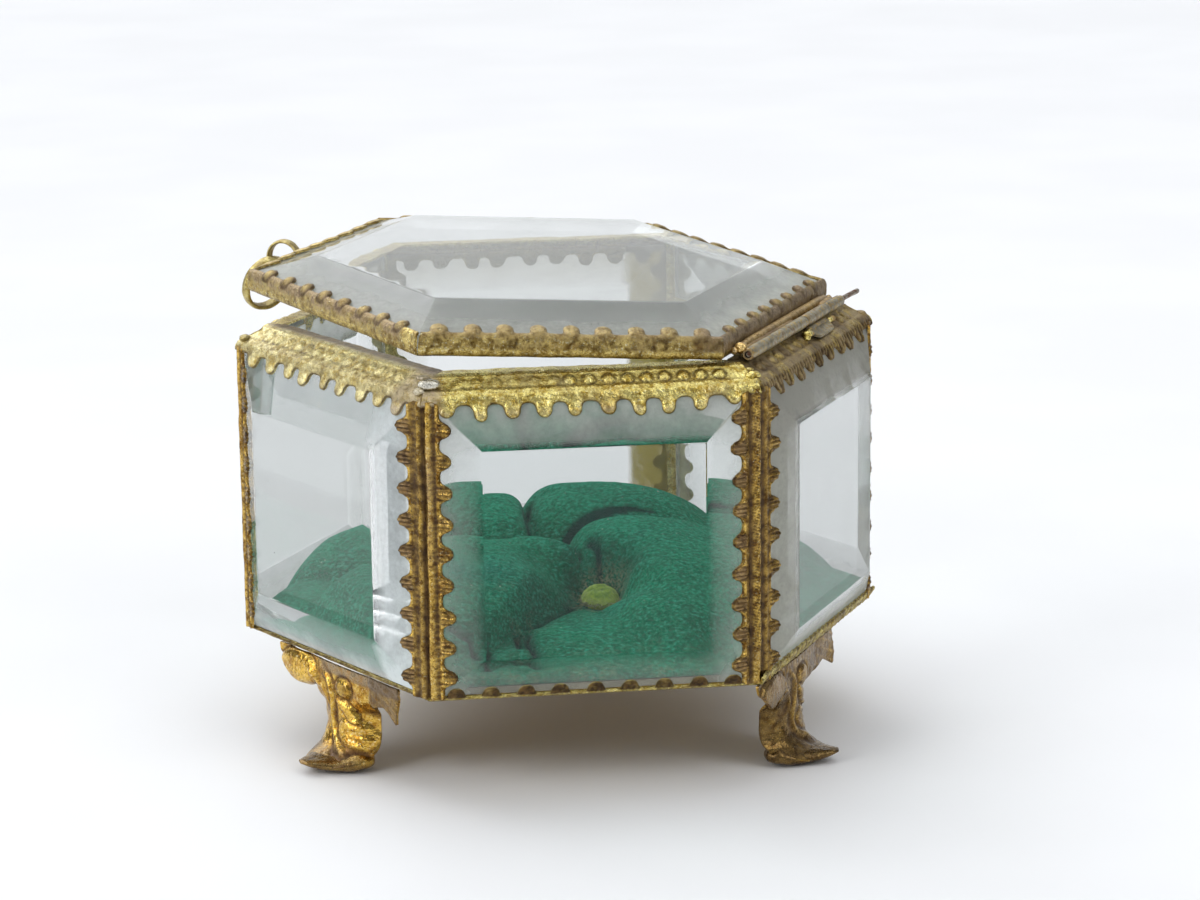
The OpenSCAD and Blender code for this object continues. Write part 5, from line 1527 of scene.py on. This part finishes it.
# gold burr left by soldering, at the near end of the box tube
arr = join([lump(1.3, 37.35, 43.85, 0.74, 507, (1.3, 1.0, 0.75), (0.0, 0, 0.0, 0.0)),
            lump(0.4, 37.60, 43.55, 0.50, 514, (1.5, 1.1, 0.8), (0.1, 0, 0.0, 0.0)),
            lump(2.4, 37.15, 43.95, 0.45, 515, (1.2, 1.0, 1.0), (0.1, 0, 0.1, 0.0)),
            lump(10.6, 37.25, 44.02, 0.52, 516, (1.4, 1.0, 0.8), (0.0, 0, 0.0, 0.0))])
put(mesh_object("hinge_solder", *arr, M_GOLD, place=hinge_box), "box", None)

# ---------------------------------------------------------------- pull
def band_arrays(r_in, r_out, width, frame_fn, seed, taper=0.0, n=110, m=(0.1, 0.3, 0.2, 0.0)):
    """Bent flat band closed on itself; frame_fn places (across, width, up)."""
    nb = 24
    ph = np.linspace(0, 2 * math.pi, n, endpoint=False)
    b = np.linspace(0, 2 * math.pi, nb, endpoint=False)
    PH, B = [x.ravel() for x in np.meshgrid(ph, b, indexing="ij")]
    c, s = np.cos(B), np.sin(B)
    rm, rt = (r_in + r_out) / 2, (r_out - r_in) / 2
    rr = rm + rt * np.sign(c) * np.abs(c) ** 0.7
    vv = width / 2 * np.sign(s) * np.abs(s) ** 0.55
    P3 = np.stack([rr * np.cos(PH), vv, rr * np.sin(PH)], 1)
    nn = noise(P3, 1.5, seed, 2)
    inner = c < -0.2
    rr = np.where(inner, rr + 0.02, rr + 0.05 * nn + 0.04 * (np.abs(vv) < width * 0.3))
    vv = vv * (1 - taper * (0.5 + 0.5 * np.cos(PH - 0.4))) * (1 + 0.06 * nn)
    loc = np.stack([rr * np.cos(PH), vv, rr * np.sin(PH)], 1)
    V = frame_fn(loc)
    idx = np.arange(n * nb).reshape(n, nb)
    j = np.roll(idx, -1, 0)
    q = np.stack([idx, np.roll(idx, -1, 1), np.roll(j, -1, 1), j], -1).reshape(-1, 4)
    T = np.vstack([q[:, [0, 1, 2]], q[:, [0, 2, 3]]])
    vol = np.einsum("ij,ij->i", V[T[:, 0]] - V.mean(0), np.cross(V[T[:, 1]] - V.mean(0), V[T[:, 2]] - V.mean(0))).sum()
    if vol < 0:
        T = T[:, ::-1]
    n2 = noise(P3, 0.9, seed + 3, 2)
    M = np.tile(np.array(m, float), (len(V), 1))
    # inner face darker: painted shade
    M[:, 0] = np.clip(M[:, 0] + 0.45 * inner + 0.2 * n2, 0, 1)
    M[:, 1] = np.clip(M[:, 1] + 0.3 * n2 * (~inner), 0, 1)
    return V, T, M


EYE_R, EYE_A, EYE_C = 2.6, -6.0, 1.5
EYE_N = LID_W + LID_BACK + EYE_R - 0.1


def eye_frame(L):
    # revolve axis along the side: across and up span the loop
    return np.stack([EYE_A + L[:, 1], EYE_N + L[:, 0], LID_Z + EYE_C + L[:, 2]], 1)


def ring_frame(L):
    R = rot_axis((0, 0, 1), -18) @ rot_axis((0, 1, 0), 27) @ rot_axis((1, 0, 0), 16)
    Q = L + np.array([0, 0, -4.1 + 0.35])
    return Q @ R.T + np.array([EYE_A, EYE_N + 0.45, LID_Z + EYE_C - 0.55])


eye = band_arrays(EYE_R - 0.48, EYE_R, 1.6, eye_frame, 601, m=(0.1, 0.30, 0.15, 0.0))
foot1 = lump(0, 0, 0, 0.55, 605, (1.3, 0.8, 1.0), (0.0, 0.1, 0.1, 0.2))
fV = foot1[0].copy()
fV = fV + np.array([EYE_A, LID_W + LID_BACK + 0.10, LID_Z + EYE_C + 0.3])
arr = join([eye, (fV, foot1[1], foot1[2])])
put(mesh_object("pull_eye_band", *arr, M_GOLD, place=hinge_lid), "lid", "pull_eye")
arr = band_arrays(3.42, 4.1, 1.6, ring_frame, 611, m=(0.10, 0.15, 0.30, 0.0))
put(mesh_object("pull_ring_band", *arr, M_GOLD, place=hinge_lid), "ring", "pull_ring")

# ---------------------------------------------------------------- cushion
TUFT = np.array([4.0, -12.5])
PAD_R = 42.6
LOBES = [  # x, y, reach left, right, front, back, turn, crown height, fullness left, right, front, back
    (-13.5, -12.5, 22.0, 21.5, 21.0, 12.5, 15, 14.4, 2.2, 5.5, 1.7, 4.0),
    (-9.8, 12.5, 30.0, 7.5, 14.0, 14.5, 0, 14.6, 1.15, 6.0, 2.4, 2.2),
    (9.5, 17.5, 14.8, 18.5, 13.5, 12.5, -6, 14.3, 5.5, 1.8, 2.4, 2.4),
    (10.5, -3.0, 11.6, 22.5, 33.0, 9.5, 8, 14.7, 3.6, 1.3, 1.15, 4.0),
    (-25.0, -27.0, 13.0, 12.0, 9.0, 9.0, 30, 6.0, 2.2, 2.2, 2.2, 2.2),
    (27.0, 13.0, 14.0, 13.0, 14.0, 13.0, 0, 8.2, 2.2, 2.2, 2.2, 2.2),
    (-32.0, 0.0, 9.0, 9.0, 13.0, 12.0, 0, 5.8, 2.2, 2.2, 2.2, 2.2),
]
CREASES = [  # line, depth, half width, shoulder
    (smooth_line([(3.2, -8.0), (0.2, -4.0), (0.6, 2.4), (5.0, 6.4), (12.0, 7.6), (19.0, 7.0)]), 4.6, 0.55, 2.0),
    (smooth_line([(-2.2, 19.5), (-3.8, 12.0), (-3.7, 5.0), (-2.2, -0.5)]), 1.9, 0.45, 0.9),
    (smooth_line([(-31.0, 1.0), (-18.0, 0.8), (-8.0, -0.2), (-1.0, -2.4), (3.0, -7.0)]), 4.6, 0.55, 2.2),
    (smooth_line([(0.8, -12.0), (-0.6, -14.6), (-2.6, -18.9), (-6.2, -24.0), (-9.3, -26.2)]), 2.8, 0.50, 1.2),
    (smooth_line([(-9.3, -26.2), (-9.5, -28.5), (-9.2, -32.4)]), 2.0, 0.42, 0.8),
    (smooth_line([(-7.6, -26.4), (-8.2, -29.0), (-7.7, -32.6), (-7.2, -35.0)]), 1.8, 0.42, 0.8),
    (smooth_line([(-17.4, -29.4), (-15.6, -31.0), (-14.2, -31.8), (-13.8, -34.6)]), 1.8, 0.42, 0.9),
    (smooth_line([(4.2, -10.0), (4.4, -7.0), (3.0, -4.0)]), 1.6, 0.5, 1.2),
]


def hex_in(x, y, r):
    """Distance inside a hexagon with its corners on the X axis."""
    ap = r * C30
    return np.minimum.reduce([ap - (x * math.sin(math.radians(60 * k)) - y * math.cos(math.radians(60 * k))) for k in range(6)])


def cushion_height(x, y, fine=True):
    h = 4.4 + 2.6 * np.exp(-((x - 4.0) / 17.0) ** 4 - ((y + 22.0) / 11.0) ** 4)
    past = (x - 3.0) * 0.85 - (y + 8.0) * 0.526
    for n, (cx_, cy_, al_, ar, bf, bb, t, H, el_, er, ef, eb) in enumerate(LOBES):
        c, s = math.cos(math.radians(t)), math.sin(math.radians(t))
        dx, dy = x - cx_, y - cy_
        p, q = dx * c + dy * s, -dx * s + dy * c
        r = np.where(p < 0, np.abs(p / al_) ** el_, np.abs(p / ar) ** er) + np.where(q < 0, np.abs(q / bf) ** ef, np.abs(q / bb) ** eb)
        if n == 0:
            r = r + 0.95 * sstep(past, -2.6, 1.2)
        h = smax(h, 3.0 + (H - 3.0) * np.clip(1 - r, 0, 1) ** 0.55, 0.5 if n != 3 else 1.6)
    for pts, dep, w, sh in CREASES:
        d, al = seg_dist(x, y, pts)
        end = sstep(al, 0.0, 0.12) * (1 - sstep(al, 0.80, 1.0))
        h = h - dep * end * ((0.62 * np.exp(-(d / w) ** 2) if fine else 0) + 0.38 * np.exp(-d / sh))
    dx, dy = x - TUFT[0], y - TUFT[1]
    rt = np.hypot(dx, dy)
    behind = sstep(0.75 * dy + 0.66 * dx, -3.0, 2.0)
    reach = 6.4 - 4.4 * behind
    well = np.exp(-(np.maximum(rt - 2.35, 0) / reach) ** 1.5)
    h = h * (1 - well) + 5.05 * well
    ang = np.arctan2(dy, dx)
    pucker = np.exp(-((rt - 5.0) / 2.6) ** 2)
    h = h + 0.22 * pucker * np.cos(ang * 9 + 1.3 * np.sin(ang * 2))
    P = np.stack([x, y], 1)
    h = h + 0.35 * noise(P, 9.0, 701, 2) * (1 - well)
    if fine:
        h = h + 0.05 * noise(P, 1.4, 707, 2)
    edge = np.clip(hex_in(x, y, PAD_R - 0.2) / 4.2, 0, 1)
    rnd = np.sqrt(np.clip(1 - (1 - edge) ** 2.2, 0, 1))
    return 2.25 + (np.maximum(h, 4.1) - 2.25) * rnd


def simulate_cushion(step=1.2, cap=0.5):
    """Puffs the sculpted shape with the cloth solver, ten times life size; gives moves per vertex."""
    X, Y = np.meshgrid(np.arange(-42.6, 42.7, step), np.arange(-37.2, 37.3, step), indexing="ij")
    ok = hex_in(X.ravel(), Y.ravel(), PAD_R - 0.2).reshape(X.shape) > 0.3
    full = ok[:-1, :-1] & ok[1:, :-1] & ok[1:, 1:] & ok[:-1, 1:]
    idx = np.arange(X.size).reshape(X.shape)
    a, b, c, d = idx[:-1, :-1][full], idx[1:, :-1][full], idx[1:, 1:][full], idx[:-1, 1:][full]
    T = np.vstack([np.stack([a, b, c], 1), np.stack([a, c, d], 1)])
    used, inv = np.unique(T.ravel(), return_inverse=True)
    T = inv.reshape(-1, 3)
    V2 = np.stack([X.ravel()[used], Y.ravel()[used]], 1)
    x, y = V2[:, 0], V2[:, 1]
    top = np.stack([x, y, cushion_height(x, y, False) - 0.15], 1)
    bot = np.stack([x, y, np.full(len(x), 2.1)], 1)
    n = len(x)
    e = np.vstack([T[:, [0, 1]], T[:, [1, 2]], T[:, [2, 0]]])
    key = e[:, 0].astype(np.int64) * n + e[:, 1]
    border = e[~np.isin(key, e[:, 1].astype(np.int64) * n + e[:, 0])]
    F = np.vstack([T, T[:, ::-1] + n, np.stack([border[:, 1], border[:, 0], border[:, 0] + n], 1), np.stack([border[:, 1], border[:, 0] + n, border[:, 1] + n], 1)])
    V = np.vstack([top, bot])
    ob = mesh_object("cushion_sim", V, F, None, None, None, place=lambda P: P * 0.01)
    g = ob.vertex_groups.new(name="held")
    rt = np.hypot(x - TUFT[0], y - TUFT[1])
    hold = rt < 3.4
    for pts, dep, w, sh in CREASES[:4]:
        d, al = seg_dist(x, y, pts)
        hold |= (d < step * 0.75) & (al > 0.05) & (al < 0.9)
    hold |= hex_in(x, y, PAD_R - 0.2) < 1.9
    g.add([int(i) for i in np.nonzero(hold)[0]] + list(range(n, 2 * n)), 1.0, "REPLACE")
    cl = ob.modifiers.new("cloth", "CLOTH")
    st = cl.settings
    st.quality = 6
    st.mass = 0.25
    st.tension_stiffness = st.compression_stiffness = 12.0
    st.shear_stiffness = 4.0
    st.bending_stiffness = 0.4
    st.vertex_group_mass = "held"
    st.use_pressure = True
    st.uniform_pressure_force = 4.0
    st.effector_weights.gravity = 0.0
    cl.collision_settings.use_collision = False
    cl.point_cache.frame_start, cl.point_cache.frame_end = 1, 20
    sc = bpy.context.scene
    for fr in range(1, 21):
        sc.frame_set(fr)
    dg = bpy.context.evaluated_depsgraph_get()
    me = ob.evaluated_get(dg).to_mesh()
    co = np.empty(len(me.vertices) * 3, np.float32)
    me.vertices.foreach_get("co", co)
    ob.evaluated_get(dg).to_mesh_clear()
    mv = co.reshape(-1, 3)[:n].astype(float) * 100 - top
    bpy.data.objects.remove(ob, do_unlink=True)
    sc.frame_set(1)
    L = np.linalg.norm(mv, axis=1, keepdims=True)
    mv = mv * np.minimum(1, cap / np.maximum(L, 1e-9))
    return V2, mv


def make_cushion():
    step = 0.42
    V2, T = outline_mesh(lambda x, y: hex_in(x, y, PAD_R - 0.2), -42.5, 42.5, -36.9, 36.9, step)
    x, y = V2[:, 0], V2[:, 1]
    z = cushion_height(x, y)
    move = np.zeros((len(x), 3))
    S2, mv = simulate_cushion()
    from mathutils.kdtree import KDTree
    kd = KDTree(len(S2))
    for i, p in enumerate(S2):
        kd.insert((p[0], p[1], 0), i)
    kd.balance()
    for i in range(len(x)):
        near = kd.find_n((x[i], y[i], 0), 5)
        w = np.array([1 / (d + 0.15) ** 2 for _, _, d in near])
        move[i] = (w[:, None] * mv[[j for _, j, _ in near]]).sum(0) / w.sum()
    print("cushion moved by the cloth, mm: mean %.3f max %.3f" % (np.linalg.norm(mv, axis=1).mean(), np.linalg.norm(mv, axis=1).max()))
    top = np.stack([x, y, z], 1) + move
    lim = hex_in(top[:, 0], top[:, 1], PAD_R)
    top[:, 2] = np.clip(top[:, 2], 2.3, 15.4)
    n = len(x)
    bot = np.stack([x * 0.995, y * 0.995, np.full(n, 2.12)], 1)
    e = np.vstack([T[:, [0, 1]], T[:, [1, 2]], T[:, [2, 0]]])
    key = e[:, 0].astype(np.int64) * n + e[:, 1]
    border = e[~np.isin(key, e[:, 1].astype(np.int64) * n + e[:, 0])]
    F = np.vstack([T, T[:, ::-1] + n, np.stack([border[:, 1], border[:, 0], border[:, 0] + n], 1), np.stack([border[:, 1], border[:, 0] + n, border[:, 1] + n], 1)])
    P = np.stack([x, y], 1)
    n1, n2 = noise(P, 7.0, 711, 3), noise(P, 1.2, 713, 2)
    rec = np.zeros(n)
    # dark along the creases: painted shade
    for pts, dep, w, sh in CREASES:
        d, al = seg_dist(x, y, pts)
        end = sstep(al, 0.0, 0.12) * (1 - sstep(al, 0.82, 1.0))
        rec = np.maximum(rec, end * (np.exp(-(d / (w * 1.15)) ** 2) + 0.35 * np.exp(-d / sh)) * min(1, dep / 1.2))
    rt = np.hypot(x - TUFT[0], y - TUFT[1])
    lint = np.exp(-((rt - 3.3) / 0.9) ** 2) * (0.55 + 0.5 * n2) + 0.4 * np.exp(-np.maximum(y + 36.0, 0) / 1.6) * (n2 > 0.0) * (np.abs(x) < 22)
    lint = lint + 0.35 * np.exp(-(((x + 8) / 3.5) ** 2 + ((y + 25) / 2.0) ** 2)) * (n2 > 0)
    # dark round the back of the button: painted shade
    rec = np.maximum(rec, 0.45 * np.exp(-((rt - 4.2) / 2.0) ** 2) * (y > TUFT[1] - 1.5))
    # dark band behind the right lobe's crest, where the back lobe comes into view: painted shadow in the gap
    d, al = seg_dist(x, y - 3.0, CREASES[0][0])
    far = 1.0 - 0.9 * sstep(x, 6.0, 15.5)
    rec = np.maximum(rec, np.clip(1.35 * np.exp(-(d / (0.80 * far + 0.12)) ** 4), 0, 1) * sstep(x, -1.0, 1.5) * (1 - sstep(x, 14.0, 16.5)) * (y > 4.0))
    blue = np.exp(-(((x + 14) / 7) ** 2 + ((y + 19) / 5) ** 2)) + 0.4 * sstep(n1, 0.3, 0.7)
    # paler on the high crowns: painted light from above, plus random paler patches
    pale = 0.6 * sstep(top[:, 2], 11.0, 14.5) + 0.35 * sstep(n1, 0.1, 0.6)
    m = np.clip(np.stack([rec, pale, blue, lint], 1), 0, 1)
    ob = mesh_object("velvet_cushion", np.vstack([top, bot]), F, np.vstack([m, m]), M_VELVET, sharp=None)
    return put(ob, "box", "pad")


make_cushion()


def tuft_arrays():
    def fn(s, a):
        ph = math.pi * s
        d = np.stack([np.sin(ph) * np.cos(a), np.sin(ph) * np.sin(a), -np.cos(ph)], 1)
        r = np.hypot(d[:, 0], d[:, 1])
        ridge = 0.03 * np.cos(a * 23 + 2 * np.sin(a * 3)) * sstep(r, 0.25, 0.8)
        rr = 2.62 * (1 + ridge + 0.06 * noise(d * 3.0, 1.0, 721, 2))
        top = d[:, 2] > 0
        z = np.where(top, 6.05 + 1.60 * d[:, 2] - 0.35 * np.exp(-(r / 0.30) ** 2) + 0.14 * noise(d * 4, 1.0, 723, 2), 5.95 + 0.62 * d[:, 2]) + 0.75 * d[:, 1]
        z = np.maximum(z, 5.15)
        return np.stack([TUFT[0] + rr * d[:, 0], TUFT[1] + rr * d[:, 1] * 0.97, z], 1)

    def mask(V):
        r = np.hypot(V[:, 0] - TUFT[0], V[:, 1] - TUFT[1])
        n2 = noise(V, 0.5, 727, 2)
        m = np.zeros((len(V), 4))
        m[:, 0] = np.clip(0.7 * np.exp(-(r / 0.55) ** 2) + 0.3 * np.maximum(n2, 0), 0, 1)
        m[:, 1] = np.clip(sstep(r, 1.2, 2.5) * (0.6 + 0.6 * n2), 0, 1)
        return m
    return grid_solid(fn, 60, 110, mask=mask)


put(mesh_object("tuft_button", *tuft_arrays(), M_TUFT, sharp=None), "box", "pad_button")


def fray_arrays():
    rs = np.random.RandomState(5)
    parts = []
    for i in range(150):
        a = rs.uniform(0, 2 * math.pi)
        r0 = 2.35 + rs.uniform(-0.1, 0.35)
        L = rs.uniform(0.5, 1.3)
        base = np.array([TUFT[0] + r0 * math.cos(a), TUFT[1] + r0 * math.sin(a), 5.5 + rs.uniform(0, 0.5)])
        d = np.array([math.cos(a + rs.uniform(-0.9, 0.9)), math.sin(a + rs.uniform(-0.9, 0.9)), rs.uniform(0.15, 0.9)])
        d /= np.linalg.norm(d)
        side = np.cross(d, [0, 0, 1]); side /= np.linalg.norm(side)
        upv = np.cross(side, d)
        curl = rs.uniform(-0.5, 0.5)
        pts = [base + d * L * s + side * curl * s * s * L + np.array([0, 0, -0.45 * L * s * s]) for s in (0, 0.35, 0.7, 1.0)]
        V = []
        for j, p in enumerate(pts):
            rad = 0.055 * (1 - 0.6 * j / 3)
            for q in range(4):
                b = q * math.pi / 2
                V.append(p + side * rad * math.cos(b) + upv * rad * math.sin(b))
        T = []
        for j in range(3):
            for q in range(4):
                p0, p1, p2, p3 = j * 4 + q, j * 4 + (q + 1) % 4, j * 4 + 4 + (q + 1) % 4, j * 4 + 4 + q
                T += [[p0, p1, p2], [p0, p2, p3]]
        T += [[2, 1, 0], [3, 2, 0], [12, 13, 14], [12, 14, 15]]
        m = np.zeros((16, 4))
        parts.append((np.array(V), np.array(T), m))
    return join(parts)


fr = Mat("frayed_thread")
pf = fr.principled(Base_Color=fr.mix(fr.ramp(fr.noise(0.7, 2), 0.4, 0.6), (0.20, 0.19, 0.13), (0.34, 0.37, 0.16)), Roughness=0.9)
fr.link(pf.outputs[0], fr.out.inputs["Surface"])
put(mesh_object("tuft_fray", *fray_arrays(), fr.m, sharp=None), "box", None)

# ---------------------------------------------------------------- carried-over CAD pieces
for node, mat in (("base_plate", M_PLATE), ("pad_board", M_CARD)):
    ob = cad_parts[node]
    ob.data.materials.clear()
    ob.data.materials.append(mat)

# ---------------------------------------------------------------- camera, light and floor
CAM_T = np.array([5.963, 0.0, 24.117])
CAM_D, CAM_AZ, CAM_EL, CAM_ROLL, CAM_F = 557.1, -7.18, 14.15, -0.707, 3882.7
az, el, ro = (math.radians(x) for x in (CAM_AZ, CAM_EL, CAM_ROLL))
back = np.array([math.sin(az) * math.cos(el), -math.cos(az) * math.cos(el), math.sin(el)])
fwd = -back
right = np.cross(fwd, [0, 0, 1]); right /= np.linalg.norm(right)
up = np.cross(right, fwd)
cx = right * math.cos(ro) + up * math.sin(ro)
cy = -right * math.sin(ro) + up * math.cos(ro)
cam = bpy.data.objects.new("camera", bpy.data.cameras.new("camera"))
cam.data.lens = CAM_F * 36.0 / 1200.0
cam.data.sensor_width = 36.0
cam.data.clip_start, cam.data.clip_end = 0.02, 20.0
pos = to_box(CAM_T + back * CAM_D)
cam.matrix_world = Matrix(((cx[0], cy[0], back[0], pos[0]), (cx[1], cy[1], back[1], pos[1]), (cx[2], cy[2], back[2], pos[2]), (0, 0, 0, 1)))
bpy.context.scene.collection.objects.link(cam)
bpy.context.scene.camera = cam


def area(name, loc, target, size, power, color=(1, 1, 1), size_y=None):
    li = bpy.data.lights.new(name, "AREA")
    li.energy, li.color, li.size = power, color, size
    if size_y:
        li.shape, li.size_y = "RECTANGLE", size_y
    ob = bpy.data.objects.new(name, li)
    d = Vector(target) - Vector(loc)
    ob.location = loc
    ob.rotation_mode = "QUATERNION"
    ob.rotation_quaternion = d.to_track_quat("-Z", "Y")
    bpy.context.scene.collection.objects.link(ob)
    return ob


area("key", (-0.45, -0.38, 0.42), (0, 0, 0.035), 0.16, 0.5, (1.0, 0.99, 0.97))
area("top", (0.05, 0.05, 0.75), (0, 0, 0.03), 0.45, 0.35, (0.98, 0.99, 1.0))
area("fill", (0.55, -0.45, 0.30), (0, 0, 0.03), 0.14, 0.15, (1.0, 0.98, 0.96))

world = bpy.data.worlds.new("studio")
world.use_nodes = True
wt = world.node_tree
bg = wt.nodes["Background"]
bg.inputs[0].default_value = (0.95, 0.97, 1.0, 1)
wdir = wt.nodes.new("ShaderNodeTexCoord").outputs["Generated"]


def world_ramp(src, a, b, lo, hi):
    n = wt.nodes.new("ShaderNodeMapRange")
    n.interpolation_type = "SMOOTHSTEP"
    wt.links.new(src, n.inputs["Value"])
    n.inputs["From Min"].default_value, n.inputs["From Max"].default_value = a, b
    n.inputs["To Min"].default_value, n.inputs["To Max"].default_value = lo, hi
    return n.outputs["Result"]


def world_lobe(d, a, b, amp):
    n = wt.nodes.new("ShaderNodeVectorMath")
    n.operation = "DOT_PRODUCT"
    wt.links.new(wdir, n.inputs[0])
    n.inputs[1].default_value = Vector(d).normalized()
    return world_ramp(n.outputs["Value"], a, b, 0.0, amp)


wz = wt.nodes.new("ShaderNodeSeparateXYZ")
wt.links.new(wdir, wz.inputs[0])
total = world_ramp(wz.outputs[2], -0.15, 1.0, 0.17, 0.46)
for d, a, b, amp in (((0.1, 0.97, 0.25), 0.60, 0.97, 0.55), ((-0.35, 0.62, 0.70), 0.84, 0.95, 2.3), ((-0.90, -0.25, 0.35), 0.88, 0.96, 2.3),
                     ((0.50, -0.55, 0.65), 0.93, 0.975, 2.2), ((0.05, 0.0, 1.0), 0.85, 0.97, 0.5), ((0.25, -0.95, 0.12), 0.60, 0.95, -0.03)):
    ad = wt.nodes.new("ShaderNodeMath")
    ad.operation = "ADD"
    wt.links.new(total, ad.inputs[0])
    wt.links.new(world_lobe(d, a, b, amp), ad.inputs[1])
    total = ad.outputs[0]
wt.links.new(total, bg.inputs[1])
bpy.context.scene.world = world

fm = Mat("pale_floor")
fp = fm.principled(Base_Color=fm.mix(fm.ramp(fm.noise(60, 2), 0.3, 0.7), (0.84, 0.84, 0.845), (0.87, 0.87, 0.875)), Roughness=0.85)
fm.link(fp.outputs[0], fm.out.inputs["Surface"])
fb = bmesh.new()
bmesh.ops.create_grid(fb, x_segments=4, y_segments=4, size=4.0)
fme = bpy.data.meshes.new("floor")
fb.to_mesh(fme)
fb.free()
fme.materials.append(fm.m)
floor = bpy.data.objects.new("floor", fme)
bpy.context.scene.collection.objects.link(floor)

sc = bpy.context.scene
sc.view_settings.view_transform = "Standard"
sc.view_settings.look = "None"
sc.view_settings.exposure = 0.0
sc.cycles.use_denoising = True
sc.cycles.max_bounces = 24
sc.cycles.transmission_bounces = 20
sc.cycles.glossy_bounces = 8
sc.cycles.diffuse_bounces = 5
sc.cycles.transparent_max_bounces = 24
sc.cycles.sample_clamp_indirect = 6.0
